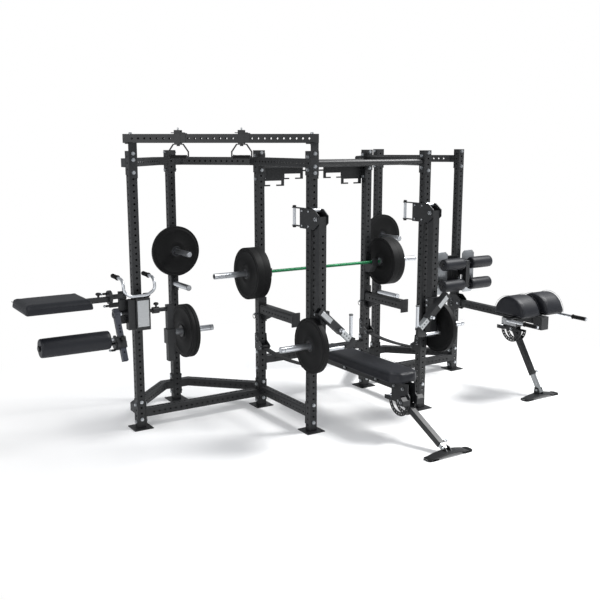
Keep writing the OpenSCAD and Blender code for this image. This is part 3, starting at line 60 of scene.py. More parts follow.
# %% [markdown]
# ## Places on the machine
#
# A new piece has to sit exactly on the steel, so its place is read from the
# frame: from the pivot of a joint, or from the box of a CAD node. Everything is
# in millimetres here. x runs to the right, y to the back and z up, and most of
# the machine is the same on both sides of x = 0.

# %% Read pivots and boxes
def pivot(joint):
    """Where a hinge of the frame turns, in millimetres."""
    found = next(j for j in frame["joints"] if j["name"] == joint)
    return Vector([round(1000 * v, 2) for v in found["pos_m"]])


def corners(node):
    """The lowest and the highest corner of a CAD node, in millimetres."""
    return [Vector([round(1000 * v, 1) for v in p]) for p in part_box(node)]


SIDES = (("left", -1), ("right", 1))
BAR = pivot("sleeve_right_spin")          # on the barbell's axis
ARM = pivot("jammer_right_swing")         # bolt of the right jammer arm
LEG = pivot("leg_lever_swing")            # shaft of the leg machine
LEG_PAD = pivot("leg_pad_tilt")
BENCH = pivot("bench_leg_angle")          # pivot of the bench's leg
BACK = pivot("back_leg_angle")            # pivot of the back machine's leg
ANKLE = {"upper": pivot("ankle_upper_spin"), "lower": pivot("ankle_lower_spin")}
POST_X = ARM.x                            # uprights of the cage
WING_X = BACK.x                           # uprights at the outer ends
APEX_X = 2 * POST_X                       # uprights behind them
print("bar at", BAR, "arm at", ARM, "leg machine at", LEG)

# %% [markdown]
# ## The camera
#
# The camera comes before any piece, because it decides how fine the detail has
# to be. A tall machine looks right from a little above eye level and from far
# away, with a slightly long lens: the uprights then stay close to vertical.

# %% Place the camera
EYE = (-4.2433, -6.0085, 2.3623)          # metres
DOWN, TO_THE_RIGHT = 10.6186, 32.4064     # degrees from level, from straight on
camera_data = bpy.data.cameras.new("studio_camera")
camera_data.sensor_width = 36.0
camera_data.lens = 50.27
camera = bpy.data.objects.new("studio_camera", camera_data)
camera.location = EYE
camera.rotation_euler = (radians(90 - DOWN), 0, radians(-TO_THE_RIGHT))
scene.collection.objects.link(camera)
scene.camera = camera
scene.view_settings.view_transform = "Standard"
print("lens", camera_data.lens, "mm")

# %% [markdown]
# ## The light
#
# Black powder coat shows its form only by what it reflects, so the room is a
# bright, even tent and one large soft lamp gives the direction. The world gives
# a plain fill to the surfaces, shows itself as white to the lens, and is mirrored
# as a mid grey, so chrome gets a body instead of vanishing into the background.

# %% A helper that adds shader nodes
def add(tree, kind, links=(), values=(), **settings):
    """One shader node with its settings, the links into it and its values."""
    made = tree.nodes.new(kind)
    for key, value in settings.items():
        setattr(made, key, value)
    for key, value in dict(values).items():
        made.inputs[key].default_value = value
    for key, source in dict(links).items():
        tree.links.new(source, made.inputs[key])
    return made


# %% World and lamps
world = bpy.data.worlds.new("studio")
scene.world = world
world.use_nodes = True
sky = world.node_tree
sky.nodes.clear()
path = add(sky, "ShaderNodeLightPath")
fill = add(sky, "ShaderNodeBackground",
           values={"Color": (0.94, 0.96, 1.0, 1), "Strength": 0.66})
mirror = add(sky, "ShaderNodeBackground",
             values={"Color": (0.95, 0.97, 1.0, 1), "Strength": 0.46})
white = add(sky, "ShaderNodeBackground",
            values={"Color": (1, 1, 1, 1), "Strength": 1.0})
both = add(sky, "ShaderNodeMixShader", {0: path.outputs["Is Glossy Ray"],
           1: fill.outputs[0], 2: mirror.outputs[0]})
both = add(sky, "ShaderNodeMixShader", {0: path.outputs["Is Camera Ray"],
           1: both.outputs[0], 2: white.outputs[0]})
add(sky, "ShaderNodeOutputWorld", {"Surface": both.outputs[0]})


def lamp(name, place, aim, size, watts):
    """A square soft lamp that looks at a point."""
    data = bpy.data.lights.new(name, "AREA")
    data.shape, data.size, data.energy = "SQUARE", size, watts
    made = bpy.data.objects.new(name, data)
    made.location = place
    turn = (Vector(aim) - Vector(place)).to_track_quat("-Z", "Y")
    made.rotation_euler = turn.to_euler()
    scene.collection.objects.link(made)


lamp("key", (4.5, -1.5, 6.5), (0, 0, 0.6), 2.2, 720)
lamp("left_fill", (-7.5, -4.0, 3.5), (-0.5, 0, 1.0), 4.0, 170)

# %% [markdown]
# ## The floor
#
# The floor is a pale sweep that fades to white. A camera ray sees mostly a plain
# white, mixed with a lit surface that still takes the machine's shadow. The share
# of plain white grows away from the machine, so no horizon shows.

# %% Make the floor
floor_mesh = bmesh.new()
bmesh.ops.create_grid(floor_mesh, x_segments=1, y_segments=1, size=60)
bmesh.ops.translate(floor_mesh, verts=floor_mesh.verts, vec=(0, 0, -0.0008))
floor_data = bpy.data.meshes.new("floor")
floor_mesh.to_mesh(floor_data)
floor_mesh.free()
floor = bpy.data.objects.new("floor", floor_data)
scene.collection.objects.link(floor)

sweep = bpy.data.materials.new("painted_sweep")
sweep.use_nodes = True
paint = sweep.node_tree
paint.nodes.clear()
path = add(paint, "ShaderNodeLightPath")
place = add(paint, "ShaderNodeTexCoord")
far = add(paint, "ShaderNodeVectorMath", {0: place.outputs["Object"]},
          operation="LENGTH")
share = add(paint, "ShaderNodeMapRange", {"Value": far.outputs["Value"]},
            {"From Min": 1.9, "From Max": 3.8, "To Min": 0.1, "To Max": 1.0})
plain = add(paint, "ShaderNodeMath", {0: share.outputs[0],
            1: path.outputs["Is Camera Ray"]}, operation="MULTIPLY")
lit = add(paint, "ShaderNodeBsdfDiffuse", values={"Color": (0.95, 0.95, 0.945, 1)})
glow = add(paint, "ShaderNodeEmission",
           values={"Color": (1, 1, 1, 1), "Strength": 1.0})
both = add(paint, "ShaderNodeMixShader", {0: plain.outputs[0],
           1: lit.outputs[0], 2: glow.outputs[0]})
add(paint, "ShaderNodeOutputMaterial", {"Surface": both.outputs[0]})
floor.data.materials.append(sweep)

# %% [markdown]
# ## Finishes
#
# Each finish is one material, named for what it really is. `finish` makes a
# Principled surface from a colour, metal share and roughness, and hands back its
# tree, so that every cell below only adds the pattern that its process leaves,
# and `drive` lets that pattern run the colour, the roughness or the relief.
# Patterns read Object coordinates in metres: a scale of 1000 is one cell to the
# millimetre.

# %% Start a finish
def linear(text):
    """An sRGB hex colour as linear red, green, blue and alpha."""
    parts = [int(text[i:i + 2], 16) / 255 for i in (1, 3, 5)]
    return [p / 12.92 if p <= 0.04045 else ((p + 0.055) / 1.055) ** 2.4
            for p in parts] + [1]


def finish(name, colour, metal, rough, **more):
    """A Principled material; returns it with its tree, surface and coordinates."""
    made = bpy.data.materials.new(name)
    made.use_nodes = True
    tree = made.node_tree
    tree.nodes.clear()
    values = {"Base Color": linear(colour), "Metallic": metal,
              "Roughness": rough, **more}
    surface = add(tree, "ShaderNodeBsdfPrincipled", values=values)
    add(tree, "ShaderNodeOutputMaterial", {"Surface": surface.outputs[0]})
    where = add(tree, "ShaderNodeTexCoord").outputs["Object"]
    return made, tree, surface, where


# %% Let a pattern run a finish
def drive(tree, surface, factor, colours=(), rough=(), bump=(), span=(0.3, 0.7)):
    """Lets a pattern run a finish between two hex colours or two roughnesses,
    or raise it as bump, which is a depth in metres and a strength."""
    if colours:
        ramp = add(tree, "ShaderNodeValToRGB", {"Fac": factor})
        for stop, place, colour in zip(ramp.color_ramp.elements, span, colours):
            stop.position, stop.color = place, linear(colour)
        tree.links.new(ramp.outputs[0], surface.inputs["Base Color"])
    if rough:
        between = add(tree, "ShaderNodeMapRange", {"Value": factor},
                      {"To Min": rough[0], "To Max": rough[1]})
        tree.links.new(between.outputs[0], surface.inputs["Roughness"])
    if bump:
        raised = add(tree, "ShaderNodeBump", {"Height": factor},
                     {"Distance": bump[0], "Strength": bump[1]})
        tree.links.new(raised.outputs[0], surface.inputs["Normal"])


# %% [markdown]
# ### Powder coat
#
# The tubes are mild steel, sprayed with black epoxy powder and baked. The powder
# melts into a skin with a fine orange peel, about a millimetre from bump to bump,
# so a lamp's reflection breaks up into a soft glow. A slower noise stands for
# the handling marks and dust that keep black steel from looking like ink.

# %% Powder-coated steel
powder, tree, skin, where = finish("powder_coated_steel", "#151719", 0.0, 0.46)
peel = add(tree, "ShaderNodeTexNoise", {"Vector": where},
           {"Scale": 620, "Detail": 3, "Roughness": 0.6})
marks = add(tree, "ShaderNodeTexNoise", {"Vector": where},
            {"Scale": 9, "Detail": 5, "Roughness": 0.65})
drive(tree, skin, marks.outputs["Fac"], ("#121416", "#191a1c"), (0.40, 0.54))
drive(tree, skin, peel.outputs["Fac"], bump=(0.00035, 0.55))

# %% [markdown]
# ### Zinc and chrome
#
# Bolts are zinc plated and then passivated: a grey metal with cloudy crystals a
# few millimetres across. The pegs, rollers and handles are hard chrome over
# ground steel, so their mirror is a little hazy, and hazier where hands rub.

# %% Zinc plate
zinc, tree, skin, where = finish("zinc_plated_steel", "#b9bdc0", 1.0, 0.34)
cloud = add(tree, "ShaderNodeTexNoise", {"Vector": where},
            {"Scale": 260, "Detail": 3})
drive(tree, skin, cloud.outputs["Fac"], ("#9fa3a7", "#cdd0d2"), (0.26, 0.44))

# %% Hard chrome
chrome, tree, skin, where = finish("hard_chrome", "#cdd0d4", 1.0, 0.34)
smear = add(tree, "ShaderNodeTexNoise", {"Vector": where},
            {"Scale": 34, "Detail": 4, "Roughness": 0.6})
drive(tree, skin, smear.outputs["Fac"], rough=(0.30, 0.38))

# %% [markdown]
# ### Telescoping tube, blue-grey lever and plate
#
# The inner tubes are bright zinc over drawn steel, dulled by sliding: fine lines
# run along them. The lever of the leg machine is coated in blue-grey powder. The
# small plates are brushed aluminium and stay bare.

# %% Drawn tube, lever coat and brushed plate
drawn, tree, skin, where = finish("drawn_zinc_tube", "#a9acae", 1.0, 0.36)
draw = add(tree, "ShaderNodeMapping", {"Vector": where},
           {"Scale": (260.0, 26.0, 260.0)})
lines = add(tree, "ShaderNodeTexNoise", {"Vector": draw.outputs[0]},
            {"Scale": 1, "Detail": 3})
drive(tree, skin, lines.outputs["Fac"], ("#9a9d9f", "#bcbfc0"), (0.28, 0.46))

slate, tree, skin, where = finish("slate_powder_coat", "#30333c", 0.0, 0.42)
peel = add(tree, "ShaderNodeTexNoise", {"Vector": where},
           {"Scale": 620, "Detail": 3})
marks = add(tree, "ShaderNodeTexNoise", {"Vector": where},
            {"Scale": 11, "Detail": 4})
drive(tree, skin, marks.outputs["Fac"], ("#2c2f38", "#353842"))
drive(tree, skin, peel.outputs["Fac"], bump=(0.0003, 0.5))

brushed, tree, skin, where = finish("brushed_aluminium", "#b0b2b3", 1.0, 0.38)
grain = add(tree, "ShaderNodeMapping", {"Vector": where},
            {"Scale": (40.0, 40.0, 1400.0)})
lines = add(tree, "ShaderNodeTexNoise", {"Vector": grain.outputs[0]},
            {"Scale": 1, "Detail": 2})
drive(tree, skin, lines.outputs["Fac"], ("#a2a4a6", "#bfc1c2"), (0.30, 0.48))

# %% [markdown]
# ### Bar coating
#
# The barbell shaft has a baked green ceramic coat over a diamond knurl. Two
# waves that cross at an angle round the bar cut the diamonds, about 1.5 mm apart,
# drawn a little coarse so that they show. The angle round the bar is measured
# from its axis, which the frame gives.

# %% Green coating with knurl
green, tree, skin, where = finish("ceramic_coated_bar", "#0c6e40", 0.35, 0.34)
split = add(tree, "ShaderNodeSeparateXYZ", {0: where})
off_y = add(tree, "ShaderNodeMath", {0: split.outputs["Y"]},
            {1: BAR.y / 1000}, operation="SUBTRACT")
off_z = add(tree, "ShaderNodeMath", {0: split.outputs["Z"]},
            {1: BAR.z / 1000}, operation="SUBTRACT")
angle = add(tree, "ShaderNodeMath", {0: off_y.outputs[0], 1: off_z.outputs[0]},
            operation="ARCTAN2")
KNURLS = 44                      # ridges round the bar, 2 mm from one to the next
PER_METRE = 2 * pi / 0.0024      # and 2.4 mm from one to the next along it
turns = add(tree, "ShaderNodeMath", {0: angle.outputs[0]}, {1: KNURLS},
            operation="MULTIPLY")
along = add(tree, "ShaderNodeMath", {0: split.outputs["X"]}, {1: PER_METRE},
            operation="MULTIPLY")
ridge = []
for way in ("ADD", "SUBTRACT"):
    phase = add(tree, "ShaderNodeMath", {0: along.outputs[0],
                1: turns.outputs[0]}, operation=way)
    ridge.append(add(tree, "ShaderNodeMath", {0: phase.outputs[0]},
                     operation="SINE"))
diamond = add(tree, "ShaderNodeMath", {0: ridge[0].outputs[0],
              1: ridge[1].outputs[0]}, operation="MULTIPLY")
drive(tree, skin, diamond.outputs[0], bump=(0.00035, 0.5))
worn = add(tree, "ShaderNodeTexNoise", {"Vector": where},
           {"Scale": 18, "Detail": 4})
drive(tree, skin, worn.outputs["Fac"], ("#0a623a", "#0f7a48"))

# %% [markdown]
# ### Rubber, plastic, webbing and vinyl
#
# Bumper plates are vulcanised rubber with a fine crumb. Caps and liners are
# moulded plastic. The safety straps are woven polyester, and the pads are covered
# in vinyl, a leather-like skin with creases about 2 mm apart and a low sheen.

# %% Rubber and plastic
rubber, tree, skin, where = finish("vulcanised_rubber", "#0c0c0d", 0.0, 0.62,
                                   **{"Specular IOR Level": 0.2})
crumb = add(tree, "ShaderNodeTexNoise", {"Vector": where},
            {"Scale": 480, "Detail": 4, "Roughness": 0.7})
scuff = add(tree, "ShaderNodeTexNoise", {"Vector": where},
            {"Scale": 14, "Detail": 5})
drive(tree, skin, scuff.outputs["Fac"], ("#0a0b0b", "#0f0f10"), (0.55, 0.72))
drive(tree, skin, crumb.outputs["Fac"], bump=(0.0005, 0.6))

plastic, tree, skin, where = finish("moulded_polyethylene", "#121314", 0.0, 0.44,
                                    **{"Specular IOR Level": 0.35})
spark = add(tree, "ShaderNodeTexNoise", {"Vector": where},
            {"Scale": 900, "Detail": 2})
drive(tree, skin, spark.outputs["Fac"], bump=(0.0002, 0.5))
drive(tree, skin, spark.outputs["Fac"], ("#101112", "#151617"))

# %% Woven webbing
webbing, tree, skin, where = finish("woven_polyester", "#1b1c1e", 0.0, 0.85)
weft = add(tree, "ShaderNodeTexWave", {"Vector": where},
           {"Scale": 160.0, "Distortion": 0.3}, bands_direction="Y")
warp = add(tree, "ShaderNodeTexWave", {"Vector": where},
           {"Scale": 110.0, "Distortion": 0.3}, bands_direction="X")
cloth = add(tree, "ShaderNodeMath", {0: weft.outputs["Fac"],
            1: warp.outputs["Fac"]}, operation="MULTIPLY")
drive(tree, skin, cloth.outputs[0], ("#151617", "#262729"), bump=(0.0006, 0.7),
      span=(0.1, 0.9))

# %% Upholstery vinyl
vinyl, tree, skin, where = finish("upholstery_vinyl", "#14161b", 0.0, 0.50,
                                  **{"Specular IOR Level": 0.35})
crease = add(tree, "ShaderNodeTexVoronoi", {"Vector": where},
             {"Scale": 420.0, "Randomness": 1.0}, feature="DISTANCE_TO_EDGE")
soft = add(tree, "ShaderNodeMath", {0: crease.outputs["Distance"]},
           {1: 0.35}, operation="POWER")
pore = add(tree, "ShaderNodeTexNoise", {"Vector": where},
           {"Scale": 7, "Detail": 4})
drive(tree, skin, pore.outputs["Fac"], ("#12141a", "#181a20"), (0.44, 0.58))
drive(tree, skin, soft.outputs[0], bump=(0.0004, 0.55))

# %% [markdown]
# ## Finishing the steel
#
# Most CAD nodes only need the right finish. Where one node holds several metals,
# it gets the finish of its largest part here, and the chrome, zinc or plastic on
# it is added later as a thin piece over it.

# %% Give every CAD node its finish
def coat(material, names):
    """Puts one material into every slot of some CAD nodes."""
    for name in names.split():
        slots = nodes[name].material_slots
        if not slots:
            nodes[name].data.materials.append(material)
        for each in slots:
            each.material = material


coat(powder, " ".join(nodes))
coat(zinc, "frame_bolts")
coat(plastic, "tube_plugs")
coat(chrome, "barbell_sleeve_left barbell_sleeve_right")
coat(green, "barbell_shaft")
coat(drawn, "jammer_grip_left jammer_grip_right bench_foot ghd_foot")
coat(slate, "leg_lever")
coat(brushed, "leg_panel")
print("steel nodes finished:", len(nodes))

# %% [markdown]
# ## Tools for the small pieces
#
# Sizes on the machine are thought of in millimetres, so the helpers below take
# millimetres and scale the mesh once, at the end. `keep` also recalculates the
# normals, marks sharp edges, gives the piece its finish and makes it ride on a
# body of the frame.


def keep(name, mesh, material, body, sharp=38, stands_for=()):
    """Makes a bmesh in millimetres a finished piece that rides on a body."""
    bmesh.ops.remove_doubles(mesh, verts=mesh.verts, dist=0.001)
    bmesh.ops.recalc_face_normals(mesh, faces=mesh.faces)
    bmesh.ops.scale(mesh, vec=(0.001, 0.001, 0.001), verts=mesh.verts)
    for face in mesh.faces:
        face.smooth = True
    for edge in mesh.edges:
        edge.smooth = edge.calc_face_angle(pi) < radians(sharp)
    data = bpy.data.meshes.new(name)
    mesh.to_mesh(data)
    mesh.free()
    data.materials.append(material)
    made = bpy.data.objects.new(name, data)
    scene.collection.objects.link(made)
    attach(made, body)
    if stands_for:
        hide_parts(*stands_for)
    return made


# %% [markdown]
# Turned parts, such as pegs, knobs and plates, are an outline spun round an axis.
# An outline is a list of radius and distance along the axis. If it starts and
# ends at radius 0 the shape is closed by its own poles.

# %% Spin an outline
AXES = {"x": Matrix.Rotation(radians(90), 3, "Y"),
        "y": Matrix.Rotation(radians(-90), 3, "X"),
        "z": Matrix.Identity(3)}
LEFTWARDS = Matrix.Rotation(radians(-90), 3, "Y")
FORWARDS = Matrix.Rotation(radians(90), 3, "X")      # towards -y, the front
WAYS = {"+x": AXES["x"], "-x": LEFTWARDS, "-y": FORWARDS}


def turned(mesh, outline, place, axis="z", steps=48, closed=False, turn=None):
    """Spins an outline of (radius, along) round an axis through a place."""
    before = set(mesh.verts)
    verts = [mesh.verts.new((r, 0, a)) for r, a in outline]
    pairs = list(zip(verts, verts[1:] + verts[:1] if closed else verts[1:]))
    edges = [mesh.edges.new(pair) for pair in pairs]
    bmesh.ops.spin(mesh, geom=verts + edges, cent=(0, 0, 0), axis=(0, 0, 1),
                   angle=2 * pi, steps=steps, use_merge=True)
    new = [vert for vert in mesh.verts if vert not in before]
    rotation = AXES[axis] if turn is None else turn
    bmesh.ops.rotate(mesh, cent=(0, 0, 0), matrix=rotation, verts=new)
    bmesh.ops.translate(mesh, vec=place, verts=new)
    return mesh


def spun(name, outline, place, material, body, sharp=38, stands_for=(), **how):
    """A finished piece that is one spun outline; how goes on to `turned`."""
    mesh = turned(bmesh.new(), outline, place, **how)
    return keep(name, mesh, material, body, sharp, stands_for)


def rod_outline(radius, length, chamfer=1.5):
    """A solid round bar with chamfered ends."""
    return [(0, 0), (radius - chamfer, 0), (radius, chamfer),
            (radius, length - chamfer), (radius - chamfer, length), (0, length)]


# %% [markdown]
# Plates and blocks start from a cube and get a small bevel, because a laser-cut
# edge is never knife sharp, and only a bevel catches the light.

# %% Blocks
def bevelled(mesh, edges, width, segments):
    """Rounds some edges over a width."""
    bmesh.ops.bevel(mesh, geom=edges, offset=width, segments=segments,
                    affect="EDGES", profile=0.5, material=-1)
    return mesh


def block(mesh, low, high, bevel=1.5, segments=2):
    """A box between two corners with bevelled edges."""
    size = [h - l for l, h in zip(low, high)]
    middle = [(l + h) / 2 for l, h in zip(low, high)]
    made = bmesh.ops.create_cube(mesh, size=1)["verts"]
    bmesh.ops.scale(mesh, vec=size, verts=made)
    bmesh.ops.translate(mesh, vec=middle, verts=made)
    edges = list({edge for vert in made for edge in vert.link_edges})
    return bevelled(mesh, edges, bevel, segments)


# %% Bolt heads and round bars
def heads(name, places, body, across, high):
    """Hexagon bolt heads over washers; each place is (x, y, z, direction)."""
    washer = [(0, 0), (across * 0.62, 0), (across * 0.62, 1.2),
              (across * 0.58, 1.6), (0, 1.6)]
    head = [(0, 1), (across * 0.56, 1), (across * 0.56, high - 1.6),
            (across * 0.47, high), (0, high)]
    mesh = bmesh.new()
    for x, y, z, way in places:
        turned(mesh, washer, (x, y, z), steps=24, turn=WAYS[way])
        turned(mesh, head, (x, y, z), steps=6, turn=WAYS[way])
    keep(name, mesh, zinc, body, sharp=25)


def both_faces(x, half, spots):
    """Places of heads on the left and right face of a tube round x."""
    return [(x + s * half, y, z, way) for s, way in ((-1, "-x"), (1, "+x"))
            for y, z in spots]


def rods(name, items, material, body, chamfer=1.5):
    """Round bars along one axis; each item is (x, y, z, axis, length, radius)."""
    mesh = bmesh.new()
    for x, y, z, axis, length, radius in items:
        turned(mesh, rod_outline(radius, length, chamfer), (x, y, z), axis, 40)
    keep(name, mesh, material, body)


# %% [markdown]
# ## Bumper plates
#
# A bumper plate is one moulding of rubber round a steel hub. Its face has a thick
# rim and a thick boss, with a shallow dish between them, and the outer corners are
# rounded so that it doesn't chip when it drops. The outline below is half of that
# section, mirrored to the other face.

# %% Outline of a bumper plate
PLATE_R = 225.0
BORE_R = 25.3


def plate_outline(thick, soft):
    """Rim, dish and boss of both faces, closed; soft scales the rim's rounding."""
    face = [(47.0, 1.6), (50.0, 0.0), (83.0, 0.0), (86.0, 0.4), (93.0, 3.0),
            (180.0, 3.0), (187.0, 0.5), (190.0, 0.0), (205.0, 0.0),
            (206.2, 1.0), (208.6, 1.0), (209.8, 0.0),
            (PLATE_R - 4 * soft, 0.0), (PLATE_R - 1.5 * soft, 1.0 * soft),
            (PLATE_R - 0.4 * soft, 2.6 * soft), (PLATE_R, 5.0 * soft)]
    return face + [(r, thick - a) for r, a in reversed(face)]


def hub_outline(thick):
    """Steel bush through the plate."""
    return [(BORE_R, 1.0), (26.6, 0.2), (44.0, 0.2), (47.0, 1.6),
            (47.0, thick - 1.6), (44.0, thick - 0.2), (26.6, thick - 0.2),
            (BORE_R, thick - 1.0)]


hub_steel, tree, skin, where = finish("blackened_hub_steel", "#3a3b3d", 1.0, 0.42)
cloud = add(tree, "ShaderNodeTexNoise", {"Vector": where},
            {"Scale": 60, "Detail": 4})
drive(tree, skin, cloud.outputs["Fac"], ("#323335", "#48494b"))


def plates(name, body, nodes_out, places, thick, axis="x", soft=1.0):
    """Plates whose first faces are at these places, and their hubs."""
    mesh, hubs = bmesh.new(), bmesh.new()
    for place in places:
        turned(mesh, plate_outline(thick, soft), place, axis, 96, closed=True)
        turned(hubs, hub_outline(thick), place, axis, 48, closed=True)
    keep(name, mesh, rubber, body, sharp=50, stands_for=nodes_out)
    keep(name + "_hub", hubs, hub_steel, body)


# %% Place the plates
BAR_PLATE, ARM_PLATE, LEG_PLATE, STORED_PLATE = 63.5, 45.0, 34.5, 40.0
ARM_PEG_Z = sum(c.z for c in corners("jammer_disc_right")) / 2
LEG_PEG_Z = sum(c.z for c in corners("leg_discs")) / 2
STORED_Z = 1405.0
for side, _ in SIDES:
    start = corners("barbell_discs_" + side)[0].x
    plates("bar_plates_" + side, "sleeve_" + side, ["barbell_discs_" + side],
           [(start + k * BAR_PLATE, BAR.y, BAR.z) for k in (0, 1)], BAR_PLATE,
           soft=0.25)
for side, _ in SIDES:
    start = corners("jammer_disc_" + side)[0].x
    plates("arm_plate_" + side, "arm_" + side, ["jammer_disc_" + side],
           [(start, ARM.y, ARM_PEG_Z)], ARM_PLATE)
start = corners("leg_discs")[0].x
plates("leg_machine_plates", "lever", ["leg_discs"],
       [(start + k * LEG_PLATE, LEG.y, LEG_PEG_Z) for k in (0, 1)], LEG_PLATE,
       soft=1.5)
for side, s in SIDES:
    plates("stored_plate_" + side, "frame",
           ["storage_discs"] if side == "left" else [],
           [(s * APEX_X, corners("storage_discs")[0].y, STORED_Z)], STORED_PLATE,
           "y")

# %% [markdown]
# ## Chrome pegs and sleeves
#
# A peg is ground bar with a chamfered end and a shallow groove for a spring
# collar. The CAD pegs are a hair thinner than these, so the polished skin covers
# them. The barbell's sleeves keep their CAD shape and only get an end plug.

# %% Pegs
PEG_R = 25.2


def peg_outline(length):
    """Chamfered end, thin groove near the end, plain shank."""
    return [(0, 0), (PEG_R, 0), (PEG_R, length - 34), (PEG_R - 0.9, length - 33),
            (PEG_R - 0.9, length - 31), (PEG_R, length - 30),
            (PEG_R, length - 3), (PEG_R - 3, length + 0.2), (0, length + 0.2)]


def peg(name, place, way, length, body):
    """One chrome peg that points along +x, -x or -y."""
    spun(name, peg_outline(length), place, chrome, body, turn=WAYS[way])


PEG_FOOT_Y = 957.0                # back face of the pegs' flanges
for spot, s, z, length in (("left_high", -1, STORED_Z, 327),
                           ("right_high", 1, STORED_Z, 327),
                           ("left_middle", -1, 1105, 297),
                           ("right_low", 1, 805, 317)):
    peg("storage_peg_" + spot, (s * APEX_X, PEG_FOOT_Y, z), "-y", length, "frame")
for side, s in SIDES:
    peg("arm_peg_" + side, (s * (POST_X + 60), ARM.y, ARM_PEG_Z),
        "+x" if s > 0 else "-x", 314, "arm_" + side)
peg("leg_machine_peg", (292 - WING_X, LEG.y, LEG_PEG_Z), "+x", 358, "lever")

# %% Barbell collars and end plugs
SLEEVE_START = corners("barbell_sleeve_right")[0].x
for side, s in SIDES:
    root = (s * SLEEVE_START, BAR.y, BAR.z)
    mesh = bmesh.new()
    turn = Matrix.Rotation(radians(90 * s), 3, "Y")
    collar = [(14.2, 0.2), (31.5, 0.2), (33.3, 2.0), (33.3, 9.6), (31.5, 11.6),
              (25.2, 11.8)]
    turned(mesh, collar, root, steps=56, turn=turn)
    groove = [(25.0, 420), (25.25, 421), (25.25, 427), (24.6, 428),
              (24.6, 431), (25.25, 432), (25.25, 443), (23, 445.4), (0, 445.4)]
    turned(mesh, groove, root, steps=56, turn=turn)
    keep("sleeve_trim_" + side, mesh, chrome, "sleeve_" + side)
    cap = [(0, 444), (19, 444), (19, 446.4), (17.8, 447.2), (0, 447.2)]
    spun("sleeve_cap_" + side, cap, root, plastic, "sleeve_" + side, steps=40,
         turn=turn)

# %% [markdown]
# ## Upholstery
#
# A gym pad is a plywood board, a block of firm foam and a vinyl cover pulled down
# over both. The foam swells a little between the corners, and a sewn seam runs
# round the top edge. Each pad starts as a slightly small block, is remeshed into
# even cells, and is then blown up by a short cloth simulation whose travel is
# capped. The board side is pinned, so it stays flat.

# %% Blow up a pad
CLOTH_STEPS = 14


def baked(made):
    """A new mesh of an object with its modifiers or curve settings applied."""
    seen = bpy.context.evaluated_depsgraph_get()
    return bpy.data.meshes.new_from_object(made.evaluated_get(seen))


def stuffed(name, mesh, body, node, pinned, cell=8.0, cap=7.0):
    """Swells a closed bmesh in millimetres into a tight pad, capped in travel."""
    made = keep(name, mesh, vinyl, body, sharp=80, stands_for=[node])
    bpy.context.view_layer.objects.active = made
    even = made.modifiers.new("even", "REMESH")
    even.mode, even.voxel_size = "VOXEL", cell / 1000
    even.use_smooth_shade = True
    flat = baked(made)
    made.modifiers.clear()
    made.data = flat
    start = [v.co.copy() for v in flat.vertices]
    hold = made.vertex_groups.new(name="hold")
    hold.add([i for i, co in enumerate(start) if pinned(co * 1000)], 1.0,
             "REPLACE")
    cloth = made.modifiers.new("foam", "CLOTH")
    cloth.settings.use_pressure = True
    cloth.settings.uniform_pressure_force = 4.0
    cloth.settings.effector_weights.gravity = 0.0
    cloth.settings.vertex_group_mass = "hold"
    cloth.settings.quality = 5
    cloth.point_cache.frame_start = 1
    cloth.point_cache.frame_end = CLOTH_STEPS
    for step in range(1, CLOTH_STEPS + 1):
        scene.frame_set(step)
    for vert, puffed, old in zip(flat.vertices, baked(made).vertices, start):
        move = puffed.co - old
        vert.co = old + move * min(1.0, cap / 1000 / max(move.length, 1e-9))
    made.modifiers.clear()
    made.vertex_groups.clear()
    scene.frame_set(1)
    smooth = bmesh.new()
    smooth.from_mesh(flat)
    for _ in range(3):
        bmesh.ops.smooth_vert(smooth, verts=smooth.verts, factor=0.5,
                              use_axis_x=True, use_axis_y=True, use_axis_z=True)
    smooth.to_mesh(flat)
    smooth.free()
    for face in flat.polygons:
        face.use_smooth = True
    flat.materials.clear()
    flat.materials.append(vinyl)
    print(name, len(flat.vertices), "points")


# %% Extrude an outline
def prism(mesh, outline, low, high, axis, bevel, segments):
    """An outline, drawn across an axis, extruded from low to high along it."""
    spot, way, verts = "xyz".index(axis), Vector(), []
    way[spot] = high - low
    for u, v in outline:
        place = [u, v]
        place.insert(spot, low)
        verts.append(mesh.verts.new(place))
    face = mesh.faces.new(verts)
    out = bmesh.ops.extrude_face_region(mesh, geom=[face])["geom"]
    moved = [g for g in out if isinstance(g, bmesh.types.BMVert)]
    bmesh.ops.translate(mesh, vec=way, verts=moved)
    verts = set(verts) | set(moved)
    edges = [e for e in mesh.edges if set(e.verts) <= verts
             and e.calc_face_angle(0) > radians(12)]
    bmesh.ops.recalc_face_normals(mesh, faces=mesh.faces)
    return bevelled(mesh, edges, bevel, segments)


# %% [markdown]
# ### Bench pad
#
# The bench pad is a long block with clipped corners. It is 300 mm wide and its
# corners are cut back by 75 mm. Its block starts a few millimetres inside the CAD
# pad, and the swelling fills that margin again.

# %% Sew the bench pad
IN, CLIP = 4.0, 75.0
low, high = corners("bench_pad")
bench_outline = [(low.x, high.y - CLIP), (low.x + CLIP, high.y),
                 (high.x - CLIP, high.y), (high.x, high.y - CLIP),
                 (high.x, low.y + CLIP), (high.x - CLIP, low.y),
                 (low.x + CLIP, low.y), (low.x, low.y + CLIP)]


def shrunk(outline, by):
    """An outline pulled towards its middle by a margin."""
    cx = sum(p[0] for p in outline) / len(outline)
    cy = sum(p[1] for p in outline) / len(outline)
    wide = max(abs(p[0] - cx) for p in outline)
    deep = max(abs(p[1] - cy) for p in outline)
    return [(cx + (u - cx) * (1 - by / wide), cy + (v - cy) * (1 - by / deep))
            for u, v in outline]


BOARD = 15.0                      # the plywood under a pad, which stays flat
bench_board = low.z + BOARD
mesh = prism(bmesh.new(), shrunk(bench_outline, IN), low.z + 0.3, high.z - 3.5,
             "z", 11, 4)
stuffed("bench_pad_cover", mesh, "frame", "bench_pad",
        lambda p: p.z < bench_board)

